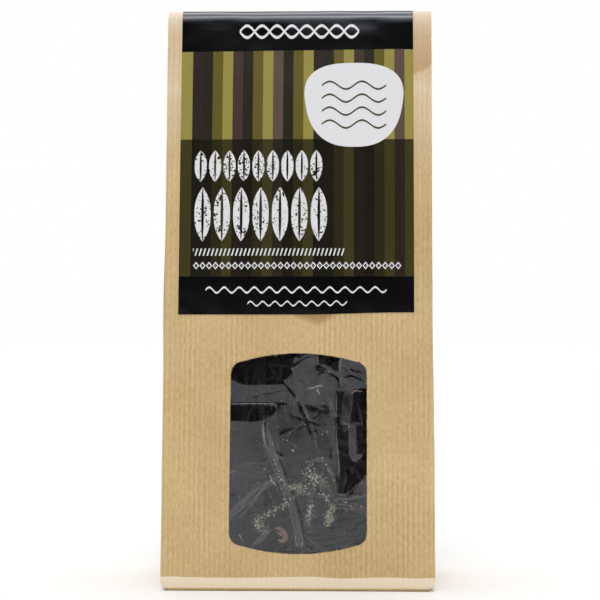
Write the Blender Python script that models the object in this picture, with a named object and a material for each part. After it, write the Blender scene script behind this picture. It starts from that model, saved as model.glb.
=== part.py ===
"""A filled block-bottom kraft paper bag of dried sea spaghetti seaweed.

The bag stands on its base with its windowed front facing -Y. Its side gussets fold in towards the
top, where the mouth is folded over to the back and held down by one printed label that runs from
the front, over the fold and down the back. A clear film is glued behind the window, and forked
fronds of dried seaweed lie folded inside, one behind another.
"""

import math
import random

import bmesh
import bpy

MM = 0.001

# Bag, in metres. Its outer surface is worked out from these.
BAG_WIDTH = 100 * MM
BAG_HEIGHT = 213.3 * MM
BASE_HALF_DEPTH = 30 * MM
TOP_HALF_DEPTH = 3.1 * MM
TAPER_POWER = 1.8
WAIST_IN = 0.6 * MM
PANEL_BULGE = 2.2 * MM
WALL = 0.5 * MM
BASE_EDGE_RADIUS = 4 * MM
CREASE_CUT = 1.1 * MM
CREASE_SHARE = 0.18
PAPER_GAP = 0.4 * MM

# Gussets: a flat triangle stands on the base, and above it the side folds in along its middle.
GUSSET_TRIANGLE = 30 * MM
GUSSET_LEAN = math.tan(math.radians(5))
GUSSET_OPENS_UNTIL = 95 * MM

# Glued back seam, a strip of double paper.
SEAM_LEFT = -5 * MM
SEAM_RIGHT = 9 * MM
SEAM_RISE = 0.35 * MM

# Fold at the mouth. The outline narrows over TOP_RISE, and the flap is rooted in it.
TOP_RISE = 1.95 * MM
TOP_NARROWING = 0.6
TOP_CORNER_NARROWING = 0.15
FLAP_ROOT_DOWN = 1.5 * MM
FLAP_ROOT_Y = -1.24 * MM
FLAP_THICKNESS = 1.2 * MM
FLAP_LENGTH = 38 * MM
FLAP_SIDE_IN = 0.6 * MM
FOLD_RADIUS = TOP_HALF_DEPTH + (PAPER_GAP + FLAP_THICKNESS) / 2
FOLD_Y = (PAPER_GAP + FLAP_THICKNESS) / 2
FOLD_Z = BAG_HEIGHT - FOLD_RADIUS
CAVITY_TOP = 198 * MM
CAVITY_FLOOR = 0.6 * MM

# Window and its film.
WINDOW_HALF_WIDTH = 25.1 * MM
WINDOW_BOTTOM = 13 * MM
WINDOW_TOP = 85.8 * MM
WINDOW_ARCH = 4.4 * MM
WINDOW_CORNER = 3.4 * MM
WINDOW_PLUG_IN = 6 * MM
WINDOW_PLUG_OUT = 5 * MM
FILM_MARGIN = 6 * MM
FILM_THICKNESS = 0.35 * MM
FILM_GAP = 0.3 * MM

# Label.
LABEL_WIDTH = 86.6 * MM
LABEL_OFFSET = -0.8 * MM
LABEL_BOTTOM = 100.4 * MM
LABEL_BACK_BOTTOM = 104 * MM
LABEL_GAP = 0.3 * MM
LABEL_THICKNESS = 0.4 * MM
LABEL_RAMP = 7 * MM
LABEL_PAST_FLAP = 0.6 * MM

# Seaweed.
FROND_COUNT = 14
FROND_WIDTH = 3.3 * MM
FROND_THICKNESS = 2.0 * MM
FROND_SIDES = 6
FROND_STEP = 6 * MM
CURVE_STEPS = 12
FROND_FLOOR = 4.5 * MM
LONG_FROND_TOP = (128 * MM, 152 * MM)
SHORT_FROND_TOP = (82 * MM, 98 * MM)
FRONT_CLEARANCE = 3.3 * MM
SIDE_CLEARANCE = 3.2 * MM
LAYER_REACH = 0.94
TWIST = math.radians(18)
BRANCH_WIDTH_SHARE = 0.85
BRANCH_THICKNESS_SHARE = 0.9
SEED = 41

# The two fronds nearest the window, each a stem and a side branch, as (x, z) in millimetres.
FRONT_FRONDS = [
    (
        [(3, 6), (0.9, 15.6), (-1.6, 26.9), (-6, 39.6), (-10.7, 52.4), (-12.8, 62), (-13.6, 74.2),
         (-12, 96), (-3, 117), (8, 120), (16, 104), (19, 86), (20, 68), (17, 57)],
        [(-6.6, 41), (-16.2, 34.5), (-24.5, 27), (-32, 15)],
    ),
    (
        [(30, 90), (17, 84), (6, 72), (2.5, 58), (6.5, 50), (13, 47), (16.8, 41), (15, 34.5),
         (9.5, 31.8), (4.5, 35)],
        [(14.6, 46), (22, 41), (27, 28), (31, 12)],
    ),
]

KRAFT = ((0.58, 0.42, 0.21, 1), 0.85)
PRINTED = ((0.03, 0.03, 0.03, 1), 0.3)
CLEAR = ((0.75, 0.77, 0.78, 1), 0.12)
DRIED_WEED = ((0.025, 0.022, 0.018, 1), 0.55)


def clear_scene():
    for thing in list(bpy.data.objects):
        bpy.data.objects.remove(thing)


def material(name, look):
    colour, roughness = look
    made = bpy.data.materials.new(name)
    made.use_nodes = True
    shader = made.node_tree.nodes["Principled BSDF"]
    shader.inputs["Base Color"].default_value = colour
    shader.inputs["Roughness"].default_value = roughness
    shader.inputs["Metallic"].default_value = 0
    made.diffuse_color = colour
    return made


def add_object(name, mesh, look):
    mesh.materials.append(look)
    made = bpy.data.objects.new(name, mesh)
    bpy.context.scene.collection.objects.link(made)
    return made


def as_helper(thing):
    thing.hide_render = True
    thing.display_type = "WIRE"
    return thing


def boolean(target, other, operation):
    modifier = target.modifiers.new(other.name, "BOOLEAN")
    modifier.operation = operation
    modifier.object = other
    modifier.solver = "EXACT"


def ease(value, low, high):
    """Smooth step from 0 at low to 1 at high."""
    share = min(1.0, max(0.0, (value - low) / (high - low)))
    return share * share * (3 - 2 * share)


# The bag's surface


def half_depth(z):
    """Half the bag's depth at height z, at the middle of its panels."""
    share = min(1.0, z / FOLD_Z)
    return TOP_HALF_DEPTH + (BASE_HALF_DEPTH - TOP_HALF_DEPTH) * (1 - share**TAPER_POWER)


def half_width(z):
    return BAG_WIDTH / 2 - WAIST_IN * math.sin(math.pi * min(1.0, z / FOLD_Z))


def panel_depth(x, z):
    """How far the front or back panel stands from the bag's middle plane."""
    bulge = PANEL_BULGE * math.sin(math.pi * min(1.0, z / FOLD_Z))
    return half_depth(z) - bulge * (x / half_width(z)) ** 2


def back_depth(x, z):
    """The back panel, with the glued seam standing out of it."""
    return panel_depth(x, z) + (SEAM_RISE if SEAM_LEFT < x < SEAM_RIGHT else 0)


def corner_depth(z):
    return panel_depth(half_width(z), z)


def gusset_in(u, z):
    """How far the side is folded in, at u from -1 at its front crease to 1 at its back crease."""
    paper = math.sqrt(max(0.0, BASE_HALF_DEPTH**2 - corner_depth(z) ** 2))
    start = GUSSET_TRIANGLE * GUSSET_LEAN
    opened = start + (paper - start) * ease(z, GUSSET_TRIANGLE * 0.8, GUSSET_OPENS_UNTIL)
    valley = max(start, opened) * (1 - abs(u))
    return min(max(z, 0.0) * GUSSET_LEAN, valley) if z < GUSSET_TRIANGLE else valley


# Columns of the panels, as shares of the bag's half width. A seam's edge takes two.
SEAM_EDGES = [x / (BAG_WIDTH / 2) + step for x in (SEAM_LEFT, SEAM_RIGHT) for step in (-0.02, 0.02)]
PANEL_COLUMNS = [i / 5 for i in range(-4, 5)]
SEAM_COLUMNS = [-0.8, -0.45, *SEAM_EDGES, 0.5, 0.8]
CAVITY_COLUMNS = [-1, -0.72, -0.4, 0, 0.4, 0.72, 1]

# Columns of the sides, as shares of the way from the valley to the creases.
SIDE_STEPS = [-0.75, -0.5, -0.25, 0, 0.25, 0.5, 0.75]

# Heights of the rings in millimetres, close together where the gussets open. Inside and outside
# share them, so the wall between keeps its thickness.
RING_HEIGHTS = [7.5, 15, 22.5, 30, 37, 45, 53, 61, 69, 77, 85, 92.5, 100, 118, 136, 154, 172, 186]


def crease(z, sign_x, sign_y, fold):
    """The two points that stand for one rounded crease, the first on the panel."""
    wide = half_width(z)
    deep = corner_depth(z)
    on_panel = (sign_x * (wide - CREASE_CUT), sign_y * panel_depth(wide - CREASE_CUT, z))
    u = 1 - min(CREASE_CUT / deep, CREASE_SHARE)
    on_side = (sign_x * (wide - fold * gusset_in(u, z)), sign_y * deep * u)
    return [on_panel, on_side]


def ring(z, fold=1):
    """The bag's outline at height z, counter-clockwise from the front left crease.

    With fold at 0 the sides aren't folded in.
    """
    wide = half_width(z)
    deep = corner_depth(z)
    front = [(wide * a, -panel_depth(wide * a, z)) for a in PANEL_COLUMNS]
    back = [(wide * a, back_depth(wide * a, z)) for a in reversed(SEAM_COLUMNS)]
    right = [(wide - fold * gusset_in(u, z), deep * u) for u in SIDE_STEPS]
    left = [(-x, y) for x, y in reversed(right)]
    front_left = crease(z, -1, -1, fold)[::-1]
    front_right = crease(z, 1, -1, fold)
    back_right = crease(z, 1, 1, fold)[::-1]
    back_left = crease(z, -1, 1, fold)
    return front_left + front + front_right + right + back_right + back + back_left + left


def shrink(points, inset):
    """The outline moved in by inset on every side, which rounds the base's edge."""
    reach_x = max(x for x, _ in points)
    reach_y = max(y for _, y in points)
    return [(x * (1 - inset / reach_x), y * (1 - inset / reach_y)) for x, y in points]


def cap(bm, loop):
    """Closes a loop with a fan from its middle, which sees past the folds in both sides."""
    middle = bm.verts.new((0, 0, loop[0].co.z))
    for i, vert in enumerate(loop):
        bm.faces.new((middle, loop[i - 1], vert))


def loft(name, rings):
    """A closed mesh through rings of equal length, each a height and its (x, y) points."""
    bm = bmesh.new()
    loops = [[bm.verts.new((x, y, z)) for x, y in points] for z, points in rings]
    for lower, upper in zip(loops, loops[1:]):
        for i in range(len(lower)):
            j = (i + 1) % len(lower)
            bm.faces.new((lower[i], lower[j], upper[j], upper[i]))
    cap(bm, loops[0][::-1])
    cap(bm, loops[-1])
    bmesh.ops.triangulate(bm, faces=bm.faces[:], quad_method="FIXED")
    mesh = bpy.data.meshes.new(name)
    bm.to_mesh(mesh)
    bm.free()
    return mesh


def bag_outline_rings():
    rings = []
    for angle in (0, 30, 60):
        a = math.radians(angle)
        z = BASE_EDGE_RADIUS * (1 - math.cos(a))
        rings.append((z, shrink(ring(z), BASE_EDGE_RADIUS * (1 - math.sin(a)))))
    heights = [BASE_EDGE_RADIUS] + [h * MM for h in RING_HEIGHTS] + [CAVITY_TOP, FOLD_Z]
    rings += [(z, ring(z)) for z in heights]
    closing = []
    for x, y in ring(FOLD_Z, fold=0):
        closing.append((x, y * (TOP_NARROWING - TOP_CORNER_NARROWING * (2 * x / BAG_WIDTH) ** 2)))
    rings.append((FOLD_Z + TOP_RISE, closing))
    return rings


def mitred_in(points, insets):
    """The outline moved in, each point by its own inset along the middle of its angle."""
    moved = []
    for i, (x, y) in enumerate(points):
        ax, ay = points[i - 1]
        bx, by = points[(i + 1) % len(points)]
        before = math.atan2(y - ay, x - ax)
        after = math.atan2(by - y, bx - x)
        turn = math.remainder(after - before, math.tau)
        inward = before + turn / 2 + math.pi / 2
        reach = insets[i] / math.cos(turn / 2)
        moved.append((x + reach * math.cos(inward), y + reach * math.sin(inward)))
    return moved


def sharp_ring(z):
    """The outline with its creases as single points and no seam, which the cavity follows."""
    wide = half_width(z)
    deep = corner_depth(z)
    front = [(wide * a, -panel_depth(wide * a, z)) for a in CAVITY_COLUMNS]
    right = [(wide - gusset_in(u, z), deep * u) for u in SIDE_STEPS]
    return front + right + [(-x, -y) for x, y in front] + [(-x, -y) for x, y in right]


def cavity_rings():
    """The inside, a wall's thickness in and twice that at the creases, which are rounded."""
    heights = [CAVITY_FLOOR] + [h * MM for h in RING_HEIGHTS] + [CAVITY_TOP]
    panel = [WALL * (2 if abs(a) == 1 else 1) for a in CAVITY_COLUMNS]
    insets = (panel + [WALL] * len(SIDE_STEPS)) * 2
    rings = [(z, mitred_in(sharp_ring(z), insets)) for z in heights]
    rings[0] = (rings[0][0], shrink(rings[0][1], BASE_EDGE_RADIUS - WALL))
    return rings


# Sheets of paper and film: a grid of points for each face, closed round the rim


def sheet(name, inner, outer):
    """A closed thin sheet between two grids of points, given as rows of equal length."""
    bm = bmesh.new()
    grids = [[[bm.verts.new(p) for p in row] for row in grid] for grid in (inner, outer)]
    rows, columns = len(inner), len(inner[0])
    for r in range(rows - 1):
        for c in range(columns - 1):
            low, high = grids
            quad = [(r, c), (r, c + 1), (r + 1, c + 1), (r + 1, c)]
            bm.faces.new([high[i][j] for i, j in quad])
            bm.faces.new([low[i][j] for i, j in reversed(quad)])
    rim = [(0, c) for c in range(columns)] + [(r, columns - 1) for r in range(1, rows)]
    rim += [(rows - 1, c) for c in range(columns - 2, -1, -1)]
    rim += [(r, 0) for r in range(rows - 2, 0, -1)]
    low, high = grids
    for (i, j), (k, m) in zip(rim, rim[1:] + rim[:1]):
        bm.faces.new((high[i][j], low[i][j], low[k][m], high[k][m]))
    bmesh.ops.recalc_face_normals(bm, faces=bm.faces[:])
    bmesh.ops.triangulate(bm, faces=bm.faces[:])
    mesh = bpy.data.meshes.new(name)
    bm.to_mesh(mesh)
    bm.free()
    return mesh


def over_the_fold(x, radius, count):
    """Points round the fold at the top, from its front to its back."""
    angles = [math.pi * (1 - i / count) for i in range(count + 1)]
    return [(x, FOLD_Y + radius * math.cos(a), FOLD_Z + radius * math.sin(a)) for a in angles]


def flap_stack(x, z, lift):
    """A point on the back, lift outside the folded flap's own inner side."""
    return (x, back_depth(x, z) + PAPER_GAP + lift, z)


def fold_flap():
    """The mouth of the bag folded over: round the top and down the back."""
    columns = [BAG_WIDTH / 2 * a for a in (-1, *SEAM_COLUMNS, 1)]
    columns[0] += FLAP_SIDE_IN
    columns[-1] -= FLAP_SIDE_IN
    heights = [FOLD_Z - FLAP_LENGTH * i / 4 for i in range(1, 5)]
    grids = []
    for lift in (0, FLAP_THICKNESS):
        radius = FOLD_RADIUS - FLAP_THICKNESS + lift
        rows = []
        for x in columns:
            rooted = [(x, FLAP_ROOT_Y + FLAP_THICKNESS / 2 - lift, FOLD_Z - FLAP_ROOT_DOWN)]
            down = [flap_stack(x, z, lift) for z in heights]
            rows.append(rooted + over_the_fold(x, radius, 8)[1:] + down)
        grids.append(rows)
    return sheet("fold_flap", *grids)


def window_outline():
    """Straight sides, arched top and bottom, rounded corners."""
    middle = (WINDOW_TOP + WINDOW_BOTTOM) / 2
    half = (WINDOW_TOP - WINDOW_BOTTOM) / 2
    radius = (WINDOW_HALF_WIDTH**2 + WINDOW_ARCH**2) / (2 * WINDOW_ARCH)
    reach = WINDOW_HALF_WIDTH - WINDOW_CORNER
    upper = []
    for i in range(-7, 8, 2):
        x = reach * i / 7
        drop = radius - math.sqrt(radius**2 - x**2)
        upper.append((x, half - drop))
    corner_top = upper[-1][1]
    for angle in (55, 25, 0):
        a = math.radians(angle)
        upper.append((reach + WINDOW_CORNER * math.cos(a), corner_top - WINDOW_CORNER * (1 - math.sin(a))))
    for angle in (0, 25, 55):
        a = math.radians(angle)
        point = (-reach - WINDOW_CORNER * math.cos(a), corner_top - WINDOW_CORNER * (1 - math.sin(a)))
        upper.insert((0, 25, 55).index(angle), point)
    lower = [(-x, -z) for x, z in upper]
    return [(x, z + middle) for x, z in upper + lower]


def window_cutter():
    """The window's outline as a plug through the front wall only."""
    outline = window_outline()
    bm = bmesh.new()
    near = [bm.verts.new((x, -BASE_HALF_DEPTH - WINDOW_PLUG_OUT, z)) for x, z in outline]
    far = [bm.verts.new((x, -panel_depth(x, z) + WINDOW_PLUG_IN, z)) for x, z in outline]
    count = len(outline)
    for i in range(count):
        j = (i + 1) % count
        bm.faces.new((near[i], far[i], far[j], near[j]))
    bm.faces.new(near)
    bm.faces.new(far[::-1])
    bmesh.ops.recalc_face_normals(bm, faces=bm.faces[:])
    bmesh.ops.triangulate(bm, faces=bm.faces[:])
    mesh = bpy.data.meshes.new("window_plug")
    bm.to_mesh(mesh)
    bm.free()
    return mesh


def make_bag(look):
    bag = add_object("paper_bag", loft("paper_bag", bag_outline_rings()), look)
    flap = as_helper(add_object("flap_helper", fold_flap(), look))
    cavity = as_helper(add_object("cavity_helper", loft("cavity", cavity_rings()), look))
    window = as_helper(add_object("window_helper", window_cutter(), look))
    boolean(bag, flap, "UNION")
    boolean(bag, cavity, "DIFFERENCE")
    boolean(bag, window, "DIFFERENCE")
    return bag


def make_film(look):
    """The clear film behind the window, glued to the inside of the front."""
    reach = WINDOW_HALF_WIDTH + FILM_MARGIN
    columns = [reach * (i / 4 - 1) for i in range(9)]
    low, high = WINDOW_BOTTOM - FILM_MARGIN, WINDOW_TOP + FILM_MARGIN
    rows = [low + (high - low) * i / 9 for i in range(10)]
    grids = []
    for depth in (WALL + FILM_GAP + FILM_THICKNESS, WALL + FILM_GAP):
        grids.append([[(x, -panel_depth(x, z) + depth, z) for x in columns] for z in rows])
    return add_object("window_film", sheet("window_film", *grids), look)


def label_column(x, lift):
    """The label's run at x: up the front, over the fold, down the flap and on to the back."""
    front_heights = [LABEL_BOTTOM + (FOLD_Z - LABEL_BOTTOM) * i / 7 for i in range(7)]
    front = [(x, -panel_depth(x, z) - lift, z) for z in front_heights]
    flap_end = FOLD_Z - FLAP_LENGTH
    over_flap = [FOLD_Z - (FLAP_LENGTH + LABEL_PAST_FLAP) * i / 4 for i in range(1, 5)]
    down = [flap_stack(x, z, FLAP_THICKNESS + lift) for z in over_flap]
    below = [flap_end - LABEL_RAMP]
    below += [below[0] - (below[0] - LABEL_BACK_BOTTOM) * i / 4 for i in range(1, 5)]
    back = [(x, back_depth(x, z) + lift, z) for z in below]
    return front + over_the_fold(x, FOLD_RADIUS + lift, 8) + down + back


def make_label(look):
    left = LABEL_OFFSET - LABEL_WIDTH / 2
    edges = [0, 0.12, 0.25, 0.37]
    seam = [(SEAM_LEFT - left) / LABEL_WIDTH, (SEAM_RIGHT - left) / LABEL_WIDTH]
    shares = edges + [seam[0] - 0.008, seam[0] + 0.008, seam[1] - 0.008, seam[1] + 0.008]
    shares += [0.74, 0.87, 1]
    columns = [left + LABEL_WIDTH * s for s in shares]
    inner = [label_column(x, LABEL_GAP) for x in columns]
    outer = [label_column(x, LABEL_GAP + LABEL_THICKNESS) for x in columns]
    return add_object("printed_label", sheet("printed_label", inner, outer), look)


# Seaweed: each frond is a folded strap that forks, lying in a layer of its own


def catmull_rom(points, count):
    """Points along a smooth curve through the given points, count for each stretch."""
    padded = [points[0]] + list(points) + [points[-1]]
    found = []
    for i in range(1, len(padded) - 2):
        a, b, c, d = padded[i - 1 : i + 3]
        for k in range(count):
            t = k / count
            found.append(
                tuple(
                    0.5 * (2 * q + (r - p) * t + (2 * p - 5 * q + 4 * r - s) * t * t
                           + (3 * q - p - 3 * r + s) * t**3)
                    for p, q, r, s in zip(a, b, c, d)
                )
            )
    return found + [tuple(points[-1])]


def even_steps(points, step):
    """The same line with its points a step apart."""
    lengths = [0.0]
    for a, b in zip(points, points[1:]):
        lengths.append(lengths[-1] + math.dist(a, b))
    count = max(3, round(lengths[-1] / step))
    found, i = [], 0
    for k in range(count + 1):
        target = lengths[-1] * k / count
        while i < len(lengths) - 2 and lengths[i + 1] < target:
            i += 1
        share = (target - lengths[i]) / max(lengths[i + 1] - lengths[i], 1e-9)
        found.append(tuple(p + (q - p) * share for p, q in zip(points[i], points[i + 1])))
    return found


def frond_plan(draw):
    """A frond's stem and side branch in a unit square: up, round a bend, down and forked."""
    first, second, third = -0.72 + draw.uniform(0, 0.2), draw.uniform(-0.1, 0.1), 0.75
    top, rest = draw.uniform(0.75, 1), draw.uniform(-0.9, -0.5)
    fork = draw.uniform(-0.1, 0.35)
    sway = [draw.uniform(-0.16, 0.16) for _ in range(5)]
    stem = [
        (first, -0.95),
        (first + sway[0], -0.3),
        (first + sway[1] + 0.05, 0.4),
        ((first + second) / 2, top),
        (second - 0.04, 0.5),
        (second, fork),
        (second - 0.12 + sway[2] * 0.5, -0.35),
        (second - 0.06 + sway[3] * 0.5, rest),
    ]
    branch = [
        (second - 0.01, fork + 0.06),
        (second + 0.22, fork - 0.25),
        (third - 0.18, fork - 0.3 + sway[4]),
        (third, draw.uniform(0.0, 0.5)),
        (third - 0.12, draw.uniform(0.6, 0.95)),
    ]
    return stem, branch


def in_layer(x, z, layer):
    """The point at x, z in a layer of the bag, which runs from -1 at the front to 1 at the back."""
    return (x, layer * (panel_depth(x, z) - FRONT_CLEARANCE), z)


def placed(plan, layer, top, turned, mirrored, upended):
    """The plan laid in the bag within its folded sides."""
    found = []
    for p, q in plan:
        if turned:
            p, q = q, -p
        if mirrored:
            p = -p
        if upended:
            q = -q
        z = FROND_FLOOR + (q + 1) / 2 * (top - FROND_FLOOR)
        deep = half_depth(z) - FRONT_CLEARANCE
        u = abs(layer) * deep / corner_depth(z)
        room = half_width(z) - gusset_in(u, z) - SIDE_CLEARANCE
        found.append(in_layer(p * room, z, layer))
    return found


def strap(name, line, width, thickness, phase):
    """A closed six-sided strap along a line in the bag, slightly twisted, with blunt ends."""
    bm = bmesh.new()
    loops = []
    count = len(line)
    for i, (x, y, z) in enumerate(line):
        before, after = line[max(0, i - 1)], line[min(count - 1, i + 1)]
        tx, tz = after[0] - before[0], after[2] - before[2]
        length = math.hypot(tx, tz)
        nx, nz = -tz / length, tx / length
        turn = TWIST * math.sin(phase + i * 0.9)
        share = i / (count - 1)
        taper = 0.82 + 0.18 * math.sin(math.pi * min(1.0, share + 0.25))
        loop = []
        for k in range(FROND_SIDES):
            a = math.tau * k / FROND_SIDES
            across = width / 2 * taper * math.cos(a)
            out = thickness / 2 * math.sin(a)
            side = across * math.cos(turn) - out * math.sin(turn)
            rise = across * math.sin(turn) + out * math.cos(turn)
            loop.append(bm.verts.new((x + nx * side, y + rise, z + nz * side)))
        loops.append(loop)
    for lower, upper in zip(loops, loops[1:]):
        for k in range(FROND_SIDES):
            m = (k + 1) % FROND_SIDES
            bm.faces.new((lower[k], lower[m], upper[m], upper[k]))
    bm.faces.new(loops[0])
    bm.faces.new(loops[-1])
    bmesh.ops.recalc_face_normals(bm, faces=bm.faces[:])
    bmesh.ops.triangulate(bm, faces=bm.faces[:])
    mesh = bpy.data.meshes.new(name)
    bm.to_mesh(mesh)
    bm.free()
    return mesh


def frond_lines(index, draw):
    """The middle lines of a frond's stem and side branch."""
    layer = LAYER_REACH * (2 * index / (FROND_COUNT - 1) - 1)
    if index < len(FRONT_FRONDS):
        plans = [catmull_rom(plan, CURVE_STEPS) for plan in FRONT_FRONDS[index]]
        lines = [[in_layer(x * MM, z * MM, layer) for x, z in plan] for plan in plans]
    else:
        top = draw.uniform(*(SHORT_FROND_TOP if index % 2 else LONG_FROND_TOP))
        turned = index % 3 == 1
        mirrored, upended = draw.random() < 0.5, draw.random() < 0.5
        plans = [catmull_rom(plan, CURVE_STEPS) for plan in frond_plan(draw)]
        lines = [placed(plan, layer, top, turned, mirrored, upended) for plan in plans]
    return [even_steps(line, FROND_STEP) for line in lines]


def make_frond(index, draw, look):
    stem, branch = frond_lines(index, draw)
    name = f"seaweed_frond_{index + 1:02d}"
    phase = draw.uniform(0, math.tau)
    frond = add_object(name, strap(name, stem, FROND_WIDTH, FROND_THICKNESS, phase), look)
    width = FROND_WIDTH * BRANCH_WIDTH_SHARE
    thickness = FROND_THICKNESS * BRANCH_THICKNESS_SHARE
    side = strap(name + "_branch", branch, width, thickness, phase + 1)
    boolean(frond, as_helper(add_object(name + "_branch", side, look)), "UNION")
    return frond


def main():
    clear_scene()
    make_bag(material("kraft_paper", KRAFT))
    make_film(material("clear_film", CLEAR))
    make_label(material("printed_paper", PRINTED))
    weed = material("dried_seaweed", DRIED_WEED)
    draw = random.Random(SEED)
    for index in range(FROND_COUNT):
        make_frond(index, draw, weed)


main()
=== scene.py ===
"""A filled block-bottom kraft paper bag of dried seaweed, dressed over its solids.

Lengths are in metres and MM is a millimetre. The bag's paper is one tube: s runs round it from the
front left crease, and r runs up it from the middle of the bottom, over the fold at the top and
down the folded mouth at the back.
"""

import math
import random
from functools import partialmethod, reduce
from operator import or_

import bpy
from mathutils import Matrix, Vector, geometry, noise


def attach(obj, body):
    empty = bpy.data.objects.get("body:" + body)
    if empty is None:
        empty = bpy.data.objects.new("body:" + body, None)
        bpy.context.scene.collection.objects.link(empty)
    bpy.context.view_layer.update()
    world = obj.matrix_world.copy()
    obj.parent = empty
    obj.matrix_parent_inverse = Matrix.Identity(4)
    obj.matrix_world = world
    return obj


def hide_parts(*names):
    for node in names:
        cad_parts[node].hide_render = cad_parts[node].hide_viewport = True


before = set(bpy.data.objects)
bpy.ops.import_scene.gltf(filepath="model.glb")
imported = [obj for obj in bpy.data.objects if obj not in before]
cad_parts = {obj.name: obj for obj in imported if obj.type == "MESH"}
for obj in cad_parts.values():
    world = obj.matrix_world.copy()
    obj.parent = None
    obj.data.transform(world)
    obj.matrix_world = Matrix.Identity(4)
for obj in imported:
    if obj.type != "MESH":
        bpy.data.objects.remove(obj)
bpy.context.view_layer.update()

MM = 0.001

# The bag: its solid's sizes, but 1.1 mm taller and with straighter sides
BAG_WIDTH = 100 * MM
BAG_HEIGHT = 214.4 * MM
BASE_HALF_DEPTH = 30 * MM
TOP_HALF_DEPTH = 3.1 * MM
TAPER_POWER = 1.8
WAIST_IN = 0.15 * MM
PANEL_BULGE = 2.2 * MM
BASE_EDGE_RADIUS = 4 * MM
GUSSET_TRIANGLE = 30 * MM
GUSSET_LEAN = math.tan(math.radians(5))
GUSSET_OPENS_UNTIL = 95 * MM
SEAM_LEFT = -5 * MM
SEAM_RIGHT = 9 * MM
PAPER_GAP = 0.4 * MM
FLAP_THICKNESS = 1.2 * MM
FLAP_LENGTH = 38 * MM
FOLD_RADIUS = TOP_HALF_DEPTH + (PAPER_GAP + FLAP_THICKNESS) / 2
FOLD_Y = (PAPER_GAP + FLAP_THICKNESS) / 2
FOLD_Z = BAG_HEIGHT - FOLD_RADIUS

# How sharply, in degrees, what is shaded smooth may bend
PAPER_SMOOTH = 40
FILM_SMOOTH = 60
STRAP_SMOOTH = 70

# The paper as a tube: how far it runs round and up
SIDE = 2 * BASE_HALF_DEPTH
AROUND = 2 * BAG_WIDTH + 2 * SIDE
UNDERSIDE = BASE_HALF_DEPTH - BASE_EDGE_RADIUS
EDGE_END = UNDERSIDE + BASE_EDGE_RADIUS * math.pi / 2
FOLD_START = EDGE_END + FOLD_Z - BASE_EDGE_RADIUS
FOLD_END = FOLD_START + math.pi * FOLD_RADIUS
MOUTH = FOLD_END + FLAP_LENGTH
EDGE_SETBACK = 1.7 * MM
UNDERSIDE_UP = 0.3 * MM
PAPER_THICKNESS = 0.2 * MM
SEAM_RISE = 0.22 * MM
CRUMPLE_COUNT = 46
CRUMPLE_SEED = 7
SIDE_DENT_UP = 192.5 * MM
SIDE_DENT_DEPTH = 0.55 * MM
SHOULDER_FILL = 0.31 * MM
SHOULDER_RISE = 2.5 * MM
SHOULDER_RUN = 40 * MM
RIB_PITCH = 1.9 * MM
RIB_DRIFT = 1.1 * MM

# Window and film
WINDOW_HALF_WIDTH = 25.2 * MM
WINDOW_BOTTOM = 13.4 * MM
WINDOW_TOP = 86.1 * MM
WINDOW_ARCH = 4.4 * MM
WINDOW_CORNER = 4.8 * MM
WINDOW_ASLANT = 0.45 * MM
WINDOW_POINTS = 460
WINDOW_TOOTH = 0.26 * MM
TOOTH_SEED = 5
FILM_MARGIN = 6 * MM
FILM_BEHIND = 0.75 * MM
FILM_THICKNESS = 0.05 * MM
FILM_GRID = 0.35 * MM
FINE_PLEATS = 30
PLEAT_SEED = 29
FACET_SEED = 3

# Label
LABEL_WIDTH = 86.6 * MM
LABEL_OFFSET = -0.8 * MM
LABEL_BOTTOM = 100.2 * MM
LABEL_BACK_BOTTOM = 104 * MM
LABEL_LIFT = 0.12 * MM
LABEL_THICKNESS = 0.12 * MM
LABEL_RAMP = 7 * MM
LABEL_FOOT = EDGE_END + LABEL_BOTTOM - BASE_EDGE_RADIUS
LABEL_FOOT_RISE = 0.8 * MM

# Seaweed, laid out as in the solids
FROND_COUNT = 14
FROND_WIDTH = 3.3 * MM
FROND_THICKNESS = 2.0 * MM
FROND_FLOOR = 4.5 * MM
CURVE_STEPS = 12
LONG_FROND_TOP = (128 * MM, 152 * MM)
SHORT_FROND_TOP = (82 * MM, 98 * MM)
FRONT_CLEARANCE = 3.3 * MM
SIDE_CLEARANCE = 3.2 * MM
LAYER_REACH = 0.94
BRANCH_WIDTH_SHARE = 0.85
BRANCH_THICKNESS_SHARE = 0.9
STRAP_POINT = 2.5 * MM
STRAP_FURROW = 0.13 * MM
FROND_SIDES = 14
FROND_STEP = 0.9 * MM
THIN_STRANDS = 44
THIN_SIDES = 8
THIN_STEP = 1.4 * MM
FINE_STEP = 0.4 * MM
SEED = 41
THIN_SEED = 17
SALT_SEED = 23
FRONT_FRONDS = [
    (
        [(3, 6), (0.9, 15.6), (-1.6, 26.9), (-6, 39.6), (-10.7, 52.4), (-12.8, 62), (-13.6, 74.2),
         (-12, 96), (-3, 117), (8, 120), (16, 104), (19, 86), (20, 68), (17, 57)],
        [(-6.6, 41), (-16.2, 34.5), (-24.5, 27), (-32, 15)],
    ),
    (
        [(30, 90), (17, 84), (6, 72), (2.5, 58), (6.5, 50), (13, 47), (16.8, 41), (15, 34.5),
         (9.5, 31.8), (4.5, 35)],
        [(14.6, 46), (22, 41), (27, 28), (31, 12)],
    ),
]


# Working by hand: selecting, modifiers, grids laid over a surface


def select_nothing():
    bpy.ops.object.select_all(action="DESELECT")


def only(piece):
    """Selects one piece and makes it the active one."""
    select_nothing()
    piece.select_set(True)
    bpy.context.view_layer.objects.active = piece


def apply_modifier(piece, kind, **settings):
    only(piece)
    modifier = piece.modifiers.new(kind.title(), kind)
    for name, value in settings.items():
        setattr(modifier, name, value)
    bpy.ops.object.modifier_apply(modifier=modifier.name)


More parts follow.
